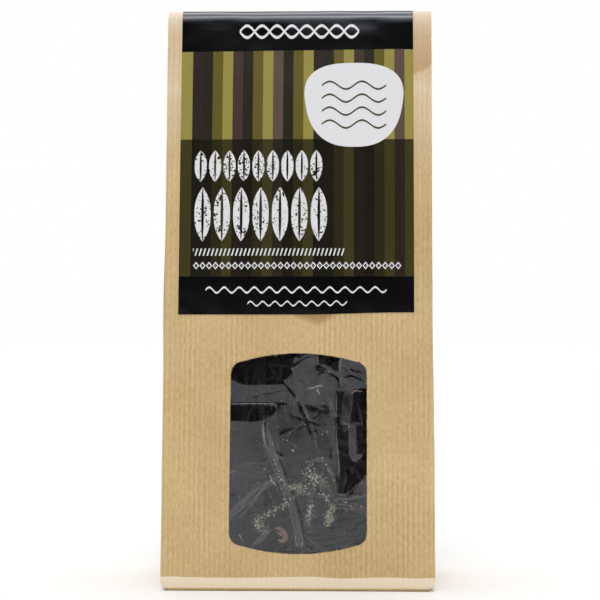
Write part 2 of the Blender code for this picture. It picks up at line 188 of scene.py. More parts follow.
def in_edit_mode(piece, *steps):
    only(piece)
    bpy.ops.object.mode_set(mode="EDIT")
    bpy.ops.mesh.select_all(action="SELECT")
    for step in steps:
        step()
    bpy.ops.object.mode_set(mode="OBJECT")


def merge_touching():
    bpy.ops.mesh.remove_doubles(threshold=0.01 * MM)


def outwards():
    bpy.ops.mesh.normals_make_consistent(inside=False)


def join(name, pieces):
    """Several pieces made one, under a new name."""
    only(pieces[0])
    for piece in pieces:
        piece.select_set(True)
    bpy.ops.object.join()
    joined = bpy.context.object
    joined.name = joined.data.name = name
    return joined


def laid_grid(name, columns, rows, place, uv_size=(1, 1), uv_left=0.0):
    """A grid whose lines lie where place puts them, with those stations as its UV."""
    select_nothing()
    across, up = len(columns) - 1, len(rows) - 1
    bpy.ops.mesh.primitive_grid_add(x_subdivisions=across, y_subdivisions=up, size=1)
    piece = bpy.context.object
    piece.name = piece.data.name = name
    stations = []
    for vert in piece.data.vertices:
        column = columns[round((vert.co.x + 0.5) * across)]
        row = rows[round((vert.co.y + 0.5) * up)]
        stations.append((column, row))
        vert.co = place(column, row)
    uv = piece.data.uv_layers[0].data
    for loop in piece.data.loops:
        column, row = stations[loop.vertex_index]
        uv[loop.index].uv = ((column - uv_left) / uv_size[0], row / uv_size[1])
    return piece, stations


def push_out(piece, stations, relief):
    """Moves each point of a laid grid along its normal by what relief gives for its station."""
    normals = [vert.normal.copy() for vert in piece.data.vertices]
    for vert, normal, (column, row) in zip(piece.data.vertices, normals, stations):
        vert.co += normal * relief(column, row)
    piece.data.update()


def smooth(piece, degrees):
    only(piece)
    bpy.ops.object.shade_smooth_by_angle(angle=math.radians(degrees))


def dress(piece, finish, degrees):
    """Gives a piece its one material and smooths what bends by less than this."""
    piece.data.materials.clear()
    piece.data.materials.append(finish)
    smooth(piece, degrees)
    return piece


def steps(start, end, size):
    """Evenly spaced stations from start to end, about size apart."""
    count = max(1, round((end - start) / size))
    return [start + (end - start) * i / count for i in range(count + 1)]


def lengths_along(points):
    """How far along the line each of its points is."""
    lengths = [0.0]
    for a, b in zip(points, points[1:]):
        lengths.append(lengths[-1] + math.dist(a, b))
    return lengths


def spread_along(points, count):
    """Places spread evenly along a line, each with the two points it lies between."""
    lengths = lengths_along(points)
    found, i = [], 0
    for k in range(count + 1):
        target = lengths[-1] * k / count
        while i < len(lengths) - 2 and lengths[i + 1] < target:
            i += 1
        a, b = points[i], points[i + 1]
        share = (target - lengths[i]) / max(lengths[i + 1] - lengths[i], 1e-9)
        found.append((tuple(p + (q - p) * share for p, q in zip(a, b)), a, b))
    return found


def even_steps(points, step):
    """The same line with its points a step apart."""
    count = max(3, round(lengths_along(points)[-1] / step))
    return [place for place, _, _ in spread_along(points, count)]


def ease(value, low, high):
    """Smooth step from 0 at low to 1 at high."""
    share = min(1.0, max(0.0, (value - low) / (high - low)))
    return share * share * (3 - 2 * share)


def bump_at(value, middle, width):
    """A soft bump, 1 at the middle, that has died away about two widths from it."""
    return math.exp(-(((value - middle) / width) ** 2))


def wander(x, y, size, seed=0.0):
    """Smooth noise from about -1 to 1, with lumps of the given size."""
    return noise.noise(Vector((x / size, y / size, seed)))


# The bag's surface


def half_depth(z):
    share = min(1.0, z / FOLD_Z)
    return TOP_HALF_DEPTH + (BASE_HALF_DEPTH - TOP_HALF_DEPTH) * (1 - share**TAPER_POWER)


def half_width(z):
    return BAG_WIDTH / 2 - WAIST_IN * math.sin(math.pi * min(1.0, z / FOLD_Z))


def panel_depth(x, z):
    bulge = PANEL_BULGE * math.sin(math.pi * min(1.0, z / FOLD_Z))
    return half_depth(z) - bulge * (x / half_width(z)) ** 2


def corner_depth(z):
    return panel_depth(half_width(z), z)


def gusset_in(u, z):
    """How far the side is folded in, at u from -1 at its front crease to 1 at its back crease."""
    paper = math.sqrt(max(0.0, BASE_HALF_DEPTH**2 - corner_depth(z) ** 2))
    start = GUSSET_TRIANGLE * GUSSET_LEAN
    opened = start + (paper - start) * ease(z, GUSSET_TRIANGLE * 0.8, GUSSET_OPENS_UNTIL)
    valley = max(start, opened) * (1 - abs(u))
    return min(max(z, 0.0) * GUSSET_LEAN, valley) if z < GUSSET_TRIANGLE else valley


def height(r):
    """How high the paper is at r, before the fold."""
    if r < UNDERSIDE:
        return UNDERSIDE_UP * ease(UNDERSIDE - r, 0, 3 * MM)
    if r < EDGE_END:
        return BASE_EDGE_RADIUS * (1 - math.cos((r - UNDERSIDE) / BASE_EDGE_RADIUS))
    return BASE_EDGE_RADIUS + r - EDGE_END


def front_track(x, r):
    """Where the front paper is at r, as (y, z)."""
    if r <= FOLD_START:
        z = height(r)
        return -panel_depth(x, z), z
    if r <= FOLD_END:
        turn = (r - FOLD_START) / FOLD_RADIUS
        return FOLD_Y - FOLD_RADIUS * math.cos(turn), FOLD_Z + FOLD_RADIUS * math.sin(turn)
    z = FOLD_Z - (r - FOLD_END)
    return panel_depth(x, z) + PAPER_GAP + FLAP_THICKNESS, z


def back_track(x, r):
    """Where the back paper is at r, as (y, z). At the fold it turns on itself."""
    if r <= FOLD_START:
        z = height(r)
        return panel_depth(x, z), z
    if r <= FOLD_END:
        turn = (r - FOLD_START) / FOLD_RADIUS
        y = TOP_HALF_DEPTH + PAPER_GAP * (1 - math.cos(turn)) / 2
        return y, FOLD_Z + PAPER_GAP * math.sin(turn)
    z = FOLD_Z - (r - FOLD_END)
    return panel_depth(x, z) + PAPER_GAP, z


def creased_paper(s, r):
    """The paper's place with its creases sharp."""
    s %= AROUND
    z = height(min(r, FOLD_START))
    wide = half_width(z)
    if s < BAG_WIDTH:
        x = wide * (2 * s / BAG_WIDTH - 1)
        y, z = front_track(x, r)
    elif s < BAG_WIDTH + SIDE or s >= AROUND - SIDE:
        right = s < BAG_WIDTH + SIDE
        u = 2 * (s - BAG_WIDTH) / SIDE - 1 if right else 1 - 2 * (s - AROUND + SIDE) / SIDE
        folded = gusset_in(u, z)
        (fy, fz), (by, bz) = front_track(wide, r), back_track(wide, r)
        share = (1 + u) / 2
        x = (wide - folded) * (1 if right else -1)
        y, z = fy + (by - fy) * share, fz + (bz - fz) * share
    else:
        x = wide * (1 - 2 * (s - BAG_WIDTH - SIDE) / BAG_WIDTH)
        y, z = back_track(x, r)
    return Vector((x, y, z))


def paper(s, r):
    """The paper's place, with its creases a little rounded and its bottom edge turned under."""
    found = Vector()
    for along in (-0.8 * MM, -0.25 * MM, 0.25 * MM, 0.8 * MM):
        found += creased_paper(s + along, r) / 4
    if r < EDGE_END:
        turn = min(math.pi / 2, max(0.0, (r - UNDERSIDE) / BASE_EDGE_RADIUS))
        under = max(0.0, UNDERSIDE - r) / UNDERSIDE
        sideways = BASE_EDGE_RADIUS * (1 - math.sin(turn)) + under * UNDERSIDE
        inwards = EDGE_SETBACK * (1 - math.sin(turn)) + under * (BASE_HALF_DEPTH - EDGE_SETBACK)
        found.x *= 1 - sideways / (BAG_WIDTH / 2)
        found.y *= 1 - inwards / BASE_HALF_DEPTH
    return found


def on_back(s):
    return BAG_WIDTH + SIDE < s < AROUND - SIDE


def on_front(s):
    return s < BAG_WIDTH


def crumples(draw):
    """Short random creases: place, direction, length, depth."""
    found = []
    for _ in range(CRUMPLE_COUNT):
        s = draw.choice((draw.uniform(0, AROUND), draw.gauss(0, 6 * MM) % AROUND,
                         BAG_WIDTH + draw.gauss(0, 6 * MM), BAG_WIDTH + SIDE / 2 + draw.gauss(0, 12 * MM)))
        r = draw.uniform(EDGE_END, FOLD_START)
        angle = draw.uniform(-0.9, 0.9) + (math.pi / 2 if draw.random() < 0.4 else 0)
        found.append((s, r, math.cos(angle), math.sin(angle), draw.uniform(5, 16) * MM,
                      draw.uniform(-0.16, 0.12) * MM))
    return found


CRUMPLES = crumples(random.Random(CRUMPLE_SEED))
FRONT_CREASES = (66 * MM, 55.5 * MM)
DENT = (BAG_WIDTH / 2 + 7.5 * MM, EDGE_END - BASE_EDGE_RADIUS + 96.9 * MM)
DENT_DEPTH = 0.5 * MM


def side_creases(s, z):
    """The folds a side keeps: down its middle, and slanting up from each bottom corner."""
    if on_front(s) or on_back(s):
        return 0.0
    across = (s - BAG_WIDTH) if s < BAG_WIDTH + SIDE else (AROUND - s)
    off = across - SIDE / 2
    shown = ease(z, 1 * MM, 8 * MM)
    out = -0.35 * MM * bump_at(off, 0, 0.8 * MM) * shown * (0.7 + 0.5 * wander(s, z, 15 * MM, 1.2))
    if z < GUSSET_TRIANGLE * 1.05:
        slant = SIDE / 2 - abs(off) - z
        out -= 0.22 * MM * bump_at(slant, 0, 1.0 * MM) * shown
    else:
        flattened = 1 - ease(z, 165 * MM, 205 * MM)
        out += 0.35 * MM * wander(s, z, 22 * MM, 6.4) * ease(z, GUSSET_TRIANGLE, 60 * MM) * flattened
        pinch = abs(off) - 4 * MM - 0.12 * (z - GUSSET_TRIANGLE)
        out += 0.3 * MM * bump_at(pinch, 0, 3 * MM) * (1 - ease(z, 60 * MM, 100 * MM))
    return out


def shoulder_dent(s, r):
    """A shallow dent slanting across the strip of paper at the label's right."""
    beside = ease(s, 90 * MM, 93 * MM) * (1 - ease(s, BAG_WIDTH - 0.5 * MM, BAG_WIDTH + 4 * MM))
    off = r - (EDGE_END - BASE_EDGE_RADIUS + SIDE_DENT_UP) - 0.35 * (s - 95 * MM)
    fade = 1 - ease(off, 0, 11 * MM) if off > 0 else 1 - ease(-off, 0, 17 * MM)
    return -SIDE_DENT_DEPTH * beside * fade


def shoulder(run):
    """Fills the hollow where the front meets the fold, at this far down from the top of the fold."""
    start = math.pi / 2 * FOLD_RADIUS
    share = (run - start) / SHOULDER_RISE + 1
    if share < 0:
        return 0.0
    return SHOULDER_FILL * (share**2 if share < 1 else max(0.0, 1 - (run - start) / SHOULDER_RUN))


def paper_relief(s, r):
    """How far the paper stands out of its even form: waves, creases, the dent, the back seam."""
    z = height(min(r, FOLD_START))
    calm = 1 - 0.8 * ease(r, FOLD_START - 12 * MM, FOLD_START)
    out = 0.3 * MM * wander(s, r, 42 * MM, 3.1) + 0.07 * MM * wander(s, r, 9 * MM, 8.2)
    out *= calm * ease(r, UNDERSIDE * 0.5, EDGE_END + 8 * MM)
    for crease in FRONT_CREASES:
        if on_front(s) or on_back(s):
            out -= 0.1 * MM * bump_at(z, crease, 0.9 * MM) * (0.7 + 0.6 * wander(s, crease, 20 * MM))
    for cs, cr, dx, dy, length, depth in CRUMPLES:
        along = (s - cs) * dx + (r - cr) * dy
        if abs(along) < length * 1.5:
            off = (r - cr) * dx - (s - cs) * dy
            if abs(off) < 3 * MM:
                out += depth * calm * bump_at(along, 0, length / 2) * bump_at(off, 0, 0.9 * MM)
    out -= DENT_DEPTH * bump_at(s, DENT[0], 6 * MM) * bump_at(r, DENT[1], 1.9 * MM)
    out += side_creases(s, z) + shoulder_dent(s, r)
    if on_front(s):
        out += shoulder(FOLD_START + math.pi / 2 * FOLD_RADIUS - r)
    if on_back(s):
        x = BAG_WIDTH / 2 - (s - BAG_WIDTH - SIDE)
        if SEAM_LEFT < x < SEAM_RIGHT and EDGE_END < r < FOLD_START:
            out += SEAM_RISE
    return out


# Materials


def set_inputs(node, inputs):
    for name, value in inputs.items():
        socket = node.inputs[name]
        value = getattr(value, "socket", value)
        if isinstance(value, bpy.types.NodeSocket):
            node.id_data.links.new(value, socket)
        else:
            socket.default_value = value


class Value:
    """A number that nodes work out, to be used in sums: | is the larger of two, & the smaller."""

    def __init__(self, nodes, socket):
        self.nodes, self.socket = nodes, socket

    def calc(self, operation, *others):
        return self.nodes.value("ShaderNodeMath", dict(enumerate((self, *others))),
                                operation=operation)

    __add__ = partialmethod(calc, "ADD")
    __sub__ = partialmethod(calc, "SUBTRACT")
    __mul__ = partialmethod(calc, "MULTIPLY")
    __truediv__ = partialmethod(calc, "DIVIDE")
    __pow__ = partialmethod(calc, "POWER")
    __abs__ = partialmethod(calc, "ABSOLUTE")
    __lt__ = partialmethod(calc, "LESS_THAN")
    __gt__ = partialmethod(calc, "GREATER_THAN")
    __or__ = partialmethod(calc, "MAXIMUM")
    __and__ = partialmethod(calc, "MINIMUM")


class Nodes:
    """A tree of nodes, added to one by one."""

    def __init__(self, tree):
        self.tree = tree

    def add(self, kind, inputs=None, **settings):
        node = self.tree.nodes.new(kind)
        for name, value in settings.items():
            setattr(node, name, value)
        set_inputs(node, inputs or {})
        return node

    def value(self, kind, inputs, **settings):
        return Value(self, self.add(kind, inputs, **settings).outputs[0])

    def split(self, vector):
        """The three parts of a vector."""
        parts = self.add("ShaderNodeSeparateXYZ", {0: vector}).outputs
        return [Value(self, part) for part in parts]

    def between(self, value, low, high, to_low=0.0, to_high=1.0):
        """The value mapped from one range to another and held within it."""
        return self.value("ShaderNodeMapRange", {"Value": value, "From Min": low, "From Max": high,
                                                 "To Min": to_low, "To Max": to_high})


class Finish(Nodes):
    """One material."""

    def __init__(self, name):
        self.material = bpy.data.materials.new(name)
        self.material.use_nodes = True
        super().__init__(self.material.node_tree)

    def object_place(self):
        return self.add("ShaderNodeTexCoord").outputs["Object"]

    def uv(self, width, length):
        """The piece's own stations, at this size."""
        u, v, _ = self.split(self.add("ShaderNodeTexCoord").outputs["UV"])
        return u * width, v * length

    def noise(self, vector, scale, detail=3.0, rough=0.5):
        return self.value("ShaderNodeTexNoise", {"Vector": vector, "Scale": scale,
                                                 "Detail": detail, "Roughness": rough})

    def stretched(self, vector, x, y, z=1.0):
        return self.add("ShaderNodeMapping", {"Vector": vector, "Scale": (x, y, z)}).outputs[0]

    def vector(self, x, y):
        return self.add("ShaderNodeCombineXYZ", {0: x, 1: y}).outputs[0]

    def ramp(self, value, stops, interpolation="LINEAR"):
        node = self.add("ShaderNodeValToRGB", {0: value})
        elements = node.color_ramp.elements
        node.color_ramp.interpolation = interpolation
        elements[0].position, elements[0].color = stops[0]
        elements[1].position, elements[1].color = stops[-1]
        for position, colour in stops[1:-1]:
            elements.new(position).color = colour
        return node.outputs[0]

    def mix(self, share, first, second):
        inputs = {"Factor": share, 6: first, 7: second}
        return self.add("ShaderNodeMix", inputs, data_type="RGBA").outputs[2]

    def bump(self, heights, strength, distance):
        inputs = {"Height": heights, "Strength": strength, "Distance": distance}
        return self.add("ShaderNodeBump", inputs).outputs[0]

    def set(self, **inputs):
        set_inputs(self.tree.nodes["Principled BSDF"],
                   {name.replace("_", " "): value for name, value in inputs.items()})
        return self.material


def srgb(r, g, b):
    """A colour given as on a screen, from 0 to 255."""
    channels = [c / 255 for c in (r, g, b)]
    return (*(c / 12.92 if c <= 0.04045 else ((c + 0.055) / 1.055) ** 2.4 for c in channels), 1)


def kraft_finish():
    """Ribbed brown paper with darker fibres and specks and paler worn corners, with painted light and
    shade: a painted highlight along the bottom edge, painted light towards the top fold and where the
    front bends, painted shade in the side folds, the dent and the pinch.
    """
    paint = Finish("kraft_paper")
    s, r = paint.uv(AROUND, MOUTH)
    flat = paint.vector(s, r)
    across, _, up = paint.split(paint.object_place())
    side_place = (s - (BAG_WIDTH + SIDE / 2)).calc("PINGPONG", AROUND / 4)

    # Ribs, clouds, fibres, worn creases and specks
    drift = paint.noise(paint.stretched(flat, 1, 0.25), 260.0, 2.0)
    ribs = ((drift * RIB_DRIFT + s) * (math.tau / RIB_PITCH)).calc("SINE")
    ribs *= paint.between(paint.noise(paint.stretched(flat, 1, 0.2), 140.0), 0.35, 0.7)
    clouds = paint.noise(flat, 22.0, 4.0, 0.6)
    fibres = paint.noise(paint.stretched(flat, 1, 0.3), 1500.0, 3.0, 0.7)
    worn = abs(side_place - SIDE / 2) - clouds * (1.2 * MM)
    shade = ribs * 0.2 + paint.between(clouds, 0.3, 0.7, 0.3, 0.7)
    shade += paint.between(fibres, 0.3, 0.7, -0.24, 0.24)
    shade += paint.between(worn, -0.4 * MM, 0.3 * MM, 0.2, 0.0)
    colour = paint.ramp(shade, [(0.0, srgb(178, 146, 98)), (0.5, srgb(200, 172, 124)),
                                (1.0, srgb(219, 195, 152))])
    specks = paint.noise(paint.stretched(flat, 1, 0.7), 900.0, 1.0)
    colour = paint.mix(paint.between(specks, 0.735, 0.79, 0.0, 0.5), colour, srgb(112, 78, 44))

    # A painted highlight along the rounded bottom edge, where light from the floor catches it
    edge = paint.noise(flat, 42.0, 2.0) * (1.5 * MM) + 4.3 * MM - up
    painted_edge_highlight = paint.between(edge, -0.1 * MM, 0.25 * MM)
    painted_edge_highlight *= paint.between(up, 0.7 * MM, 1.15 * MM, 0.0, 0.8)
    colour = paint.mix(painted_edge_highlight, colour, srgb(244, 230, 208))

    # Painted shade along the folds that the sides keep
    slant = abs(side_place + up - SIDE / 2)
    valley = side_place | paint.between(up, 29 * MM, 31 * MM, 9 * MM, 0.0)
    lines = paint.between(slant & valley, 0.15 * MM, 0.6 * MM, 0.45, 0.0)
    colour = paint.mix(lines * (side_place < SIDE / 2), colour, srgb(146, 112, 72))

    # Painted light: paler towards the fold at the top, and where the front bends
    level = clouds * (4 * MM) + up
    folded = paint.between(level, 199 * MM, 217 * MM) ** 1.6 * 0.85
    bent = paint.between(abs(level - 186.5 * MM), 0.0, 11 * MM, 0.36, 0.0)
    pale = folded | bent | paint.between(level, 148 * MM, 178 * MM, 0.0, 0.22)
    colour = paint.mix(pale, colour, srgb(240, 228, 212))

    # The shade of the dent at the label's right
    over = across * -0.48 + clouds * (1.5 * MM) + up - 170 * MM
    shaded = paint.between(over, -0.9 * MM, 1.1 * MM)
    shaded *= paint.between(over, 1 * MM, 19 * MM, 0.7, 0.17)
    shaded *= paint.between(across, 40 * MM, 42 * MM)
    colour = paint.mix(shaded, colour, srgb(178, 140, 98))

    # A painted shadow in the pinch under the label's foot
    rising = paint.between(across, -3 * MM, 6.8 * MM)
    rising &= paint.between(across, 7.6 * MM, 14 * MM, 1.0, 0.1)
    ragged = rising * (3.8 * MM) + clouds * (1.2 * MM) + fibres * (1.6 * MM) + up
    painted_pinch_shadow = paint.between(ragged, 100.9 * MM, 103.4 * MM, 0.0, 0.62)
    painted_pinch_shadow *= paint.between(across, -3 * MM, -1 * MM)
    painted_pinch_shadow *= paint.between(across, 13 * MM, 16 * MM, 1.0, 0.0)
    painted_pinch_shadow *= paint.between(up, 103 * MM, 105 * MM, 1.0, 0.0)
    colour = paint.mix(painted_pinch_shadow * (s < BAG_WIDTH), colour, srgb(150, 108, 64))
    return paint.set(Base_Color=colour, Roughness=0.82, Specular_IOR_Level=0.25,
                     Normal=paint.bump(fibres * 0.6 + ribs * 0.35, 0.35, 0.12 * MM))


def run_of(z):
    """How far up the front of the label the height z is, along the paper."""
    return sum(math.hypot(1, (panel_depth(0, a + MM / 2) - panel_depth(0, a - MM / 2)) / MM) * MM
               for a in steps(LABEL_BOTTOM + MM / 2, z - MM / 2, MM))


def within(value, low, high):
    return value.calc("COMPARE", (low + high) / 2, (high - low) / 2)


class LabelPrint(Finish):
    """Print on the label: x runs across it and r up from its bottom edge, in millimetres."""

    def __init__(self, name, length):
        super().__init__(name)
        self.x, self.r = self.uv(LABEL_WIDTH / MM, length / MM)

    def cell(self, left, pitch, lean=0.0):
        """How far across its own cell each place is, in a row of cells."""
        return ((self.r * lean + self.x - left) / pitch).calc("FRACT")

    def wave_line(self, left, right, middle, swing, length, stroke):
        """A wavy line across the label."""
        line = ((self.x - left) * (math.tau / length)).calc("SINE") * swing + middle
        return (abs(self.r - line) < stroke / 2) * within(self.x, left, right)

    def lozenges(self, left, right, middle, tall, count, core):
        """A row of tall lozenges in outline, each with a core."""
        sideways = abs(self.cell(left, (right - left) / count) - 0.5) * 2
        reach = sideways + abs(self.r - middle) / (tall / 2)
        return (within(reach, 0.56, 0.97) | (reach < core)) * within(self.x, left, right)

    def blades(self, left, right, middle, tall, count):
        """A row of upright pointed blades, each with a dark middle rib."""
        sideways = abs(self.cell(left, (right - left) / count) - 0.5) * (2 / 0.84)
        along = abs(self.r - middle) / (tall / 2)
        edge = along**2.6 * -1 + 1
        blade = (sideways < edge) * (sideways > edge * 0.17)
        return blade * within(self.x, left, right) * (along < 0.985)

    def hatch(self, left, right, middle, tall, pitch, share):
        """A row of short slanting strokes."""
        row = (self.cell(left, pitch, -0.3) < share) * within(self.x, left, right)
        return row * within(self.r, middle - tall / 2, middle + tall / 2)

    def rounded_patch(self, x, r, wide, tall, power, taper):
        """A filled oval, squarer the higher its power, and narrower towards its lower end."""
        lean = (self.r - r) * (taper / tall) + 1
        sideways = abs(self.x - x) / (lean * wide)
        return sideways**power + (abs(self.r - r) / tall) ** power < 1


LIGHT_OLIVE = srgb(152, 142, 74)
MID_OLIVE = srgb(101, 92, 42)
DARK_PLUM = srgb(50, 41, 39)
PLUM = srgb(72, 56, 52)
LIGHT_PLUM = srgb(96, 79, 71)
NEAR_BLACK = srgb(44, 41, 32)
BLACK_INK = srgb(7, 7, 8)
DARKENED = srgb(27, 25, 17)
DARKENING = 0.87
STRIPES = [LIGHT_OLIVE, DARK_PLUM, NEAR_BLACK, MID_OLIVE, LIGHT_OLIVE, PLUM, NEAR_BLACK, MID_OLIVE,
           LIGHT_OLIVE, LIGHT_PLUM, NEAR_BLACK, MID_OLIVE]
STRIPE = LABEL_WIDTH / MM / 23
STRIPES_RIGHT = 0.5
# Waves along the top of the header: height, how far before the fold, width, size and seed
HEADER_WAVES = [(0.3, 7, 2.2, 18, 5.5), (0.26, 4.2, 1.4, 15, 2.5), (0.26, 1.6, 1.2, 13, 7.5)]


def label_finish(length, fold_run):
    """Stripes under a black header, darker with plain ornament below, a blank panel behind."""
    ink = LabelPrint("printed_paper", length)
    x, r = ink.x, ink.r
    place = ink.object_place()
    behind = 2 * fold_run

    def at(z):
        """How far up the label the height z is, both in millimetres."""
        return run_of(z * MM) / MM

    # The stripes, darkened lower down, and the black bands
    number = ((x - STRIPES_RIGHT) / STRIPE).calc("FLOOR")
    number = ((number | 0) * (1 / 12) + 1 / 24).calc("FRACT")
    colour = ink.ramp(number, [(i / 12, c) for i, c in enumerate(STRIPES)], "CONSTANT")
    grain = ink.noise(place, 1800.0, 2.0)
    colour = ink.mix(ink.between(grain, 0.2, 0.8, 0.0, 0.10), colour, srgb(20, 18, 12))
    darker = within(r, at(114.3), at(164.9)) | within(r, behind - at(164.9) - 8, behind + 200)
    darker *= DARKENING
    colour = ink.mix(darker, colour, DARKENED)
    last = (x > 22 * STRIPE + STRIPES_RIGHT) * within(r, at(114.3), at(199))
    colour = ink.mix(last, colour, ink.mix(darker, LIGHT_OLIVE, DARKENED))
    header = (x * -0.011 + r + 0.75 > at(199)) * within(r, at(178.7), behind - at(199))
    colour = ink.mix(header | within(r, -5, at(114.3)), colour, BLACK_INK)

    # The white patch with its waves
    badge = ink.rounded_patch(64.5, at(178.7), 18.0, 16.2, 2.6, 0.14)
    colour = ink.mix(badge, colour, srgb(226, 226, 228))
    waves = [ink.wave_line(52.5, 76.5, at(178.7) + up, 1.5, 12.0, 0.75)
             for up in (-7.5, -2.5, 2.5, 7.5)]
    colour = ink.mix(reduce(or_, waves), colour, srgb(74, 66, 38))

    # The white ornament, and the ruled panel behind
    worn = ink.blades(5, 53.3, at(155.6), 12.0, 9) | ink.blades(5, 55.2, at(137.2), 20.4, 7)
    flecks = ink.between(ink.noise(place, 170.0, 1.0), 0.35, 0.7, -0.07, 0.07)
    flecks += ink.noise(place, 1150.0, 2.0, 0.6)
    panel = within(x, 9, 77.6) * within(r, behind - at(178.7), behind - at(123))
    white = [
        worn * (flecks < 0.6),
        ink.hatch(5.2, 61, at(123), 2.7, 1.5, 0.36),
        ink.lozenges(5.2, 82, at(118.3), 3.0, 32, 0.1),
        ink.wave_line(10, 76.5, at(109.4), 1.0, 5.54, 0.75),
        ink.wave_line(25.5, 62, at(104.6), 0.8, 4.5, 0.6),
        ink.wave_line(21.6, 66.4, at(206.6), 2.3, 11.2, 1.15),
        ink.wave_line(21.6, 66.4, at(206.6), -2.3, 11.2, 1.15),
        panel,
    ]
    colour = ink.mix(reduce(or_, white), colour, srgb(224, 224, 226))
    rules = panel * within(x, 13, 73.6) * ((r / 6).calc("FRACT") < 0.07)
    colour = ink.mix(rules, colour, srgb(90, 88, 80))
    wrinkle = ink.noise(place, 160.0, 3.0, 0.55)
    return ink.set(Base_Color=colour, Roughness=ink.between(grain, 0.3, 0.7, 0.1, 0.15),
                   Specular_IOR_Level=0.6, Specular_Tint=(0.86, 0.92, 1.0, 1),
                   Normal=ink.bump(wrinkle, 0.2, 0.12 * MM))


def film_finish():
    """Clear film: it mirrors a little of the room and lets the rest through."""
    clear = Finish("clear_film")
    place = clear.object_place()
    dust = clear.between(clear.noise(place, 700.0, 4.0, 0.7), 0.6, 0.8, 0.0, 0.05)
    haze = clear.between(clear.noise(place, 60.0), 0.3, 0.7, 0.095, 0.13)
    wrinkle = clear.noise(clear.stretched(place, 1, 1, 0.5), 450.0, 2.0)
    return clear.set(Base_Color=srgb(40, 42, 48), Roughness=0.05, IOR=3.3,
                     Specular_Tint=(0.93, 0.96, 1.0, 1), Alpha=haze + dust,
                     Normal=clear.bump(wrinkle, 0.1, 0.08 * MM))


def weed_finish(name, lightness, bloom, tone=srgb(138, 124, 104), sheen_below=0.0):
    """Dried seaweed: furrowed, near black, salt on it; given a height, it is painted a paler grey below
    it, a painted reflection of the film over it, and is near black above it.
    """
    weed = Finish(name)
    place = weed.object_place()
    # Painted reflection: a paler grey below the height, where the film lies over the weed
    if sheen_below:
        up = weed.split(place)[2]
        upper = weed.between(up, sheen_below - 5 * MM, sheen_below)
        lightness = (upper * -lightness + lightness) * weed.between(up, 14.6 * MM, 15.6 * MM)
    furrows = weed.noise(weed.vector(*weed.uv(14.0, 26.0)), 1.0, 3.0, 0.6)
    colour = weed.ramp(weed.noise(place, 130.0), [(0.25, srgb(9, 9, 9)), (0.5, srgb(20, 19, 18)),
                                                  (0.75, srgb(44, 39, 34))])
    colour = weed.mix(lightness, colour, tone)
    salt = weed.noise(place, 900.0, 4.0, 0.7)
    salted = weed.between(weed.noise(place, 110.0, 2.0), 0.3, 0.75, -0.12, 0.12) + salt
    white = weed.between(salted, bloom, bloom + 0.09, 0.0, 0.8)
    colour = weed.mix(white, colour, srgb(196, 190, 172))
    rough = weed.between(furrows, 0.3, 0.7, 0.3, 0.6)
    if sheen_below:
        colour = weed.mix(upper * 0.8, colour, srgb(6, 6, 6))
        rough += upper * 0.3
    return weed.set(Base_Color=colour, Roughness=rough, Specular_IOR_Level=0.25,
                    Normal=weed.bump(furrows + salt * 0.5, 0.7, 0.25 * MM))


def plain_finish(name, colour, roughness, spread=0.12):
    """One colour, a little lighter and darker from place to place."""
    plain = Finish(name)
    patches = plain.noise(plain.object_place(), 380.0, 3.0)
    lighter = [min(1.0, c * (1 + spread)) for c in colour[:3]] + [1]
    darker = [c * (1 - spread) for c in colour[:3]] + [1]
    return plain.set(Base_Color=plain.mix(plain.between(patches, 0.3, 0.7), darker, lighter),
                     Roughness=roughness)


# The bag


def crease_columns():
    """Stations round the paper: close together at the creases and at the seam's edges."""
    found = []
    for start, length in ((0, BAG_WIDTH), (BAG_WIDTH, SIDE), (BAG_WIDTH + SIDE, BAG_WIDTH),
                          (2 * BAG_WIDTH + SIDE, SIDE)):
        found += [start, start + 0.5 * MM, start + 1.1 * MM]
        found += steps(start + 2 * MM, start + length - 2 * MM, 2 * MM)
        found += [start + length - 1.1 * MM, start + length - 0.5 * MM]
    middle = BAG_WIDTH + SIDE + BAG_WIDTH / 2
    for edge in (middle - SEAM_LEFT, middle - SEAM_RIGHT):
        found += [edge - 0.12 * MM, edge + 0.12 * MM]
    return sorted(found) + [AROUND]


def bag_rows():
    found = steps(0, UNDERSIDE - 2 * MM, 6 * MM)[:-1] + steps(UNDERSIDE - 2 * MM, UNDERSIDE, MM)[:-1]
    found += steps(UNDERSIDE, EDGE_END, 0.7 * MM)[:-1]
    found += steps(EDGE_END, FOLD_START, 1.5 * MM)[:-1]
    found += steps(FOLD_START, FOLD_END, 0.9 * MM)[:-1]
    return found + steps(FOLD_END, MOUTH, 2.4 * MM)


def window_outline(draw):
    """Points round the window, with the small teeth that its die leaves."""
    middle = (WINDOW_TOP + WINDOW_BOTTOM) / 2
    half = (WINDOW_TOP - WINDOW_BOTTOM) / 2
    radius = (WINDOW_HALF_WIDTH**2 + WINDOW_ARCH**2) / (2 * WINDOW_ARCH)
    reach = WINDOW_HALF_WIDTH - WINDOW_CORNER

    def arch(x):
        return half - (radius - math.sqrt(radius**2 - x * x))

    corner_z = arch(reach) - WINDOW_CORNER
    quarter = [(WINDOW_HALF_WIDTH, z) for z in steps(0, corner_z, 3 * MM)]
    for degrees in range(10, 71, 10):
        a = math.radians(degrees)
        quarter.append((reach + WINDOW_CORNER * math.cos(a), corner_z + WINDOW_CORNER * math.sin(a)))
    quarter += [(x, arch(x)) for x in reversed(steps(0, reach, 3 * MM))]
    upper = quarter + [(-x, z) for x, z in reversed(quarter[:-1])]
    whole = upper + [(-x, -z) for x, z in upper[1:-1]]
    found = []
    for k, ((x, z), (ax, az), (bx, bz)) in enumerate(spread_along(whole + whole[:1], WINDOW_POINTS)[:-1]):
        long = math.hypot(bx - ax, bz - az)
        tooth = WINDOW_TOOTH * (1 if k % 2 else -1) * draw.uniform(0.2, 1)
        x -= (az - bz) / long * tooth
        z -= (bx - ax) / long * tooth
        aslant = (WINDOW_ASLANT + 0.009 * z) * max(0.0, -x) / WINDOW_HALF_WIDTH
        found.append((x + aslant, z + middle))
    return found


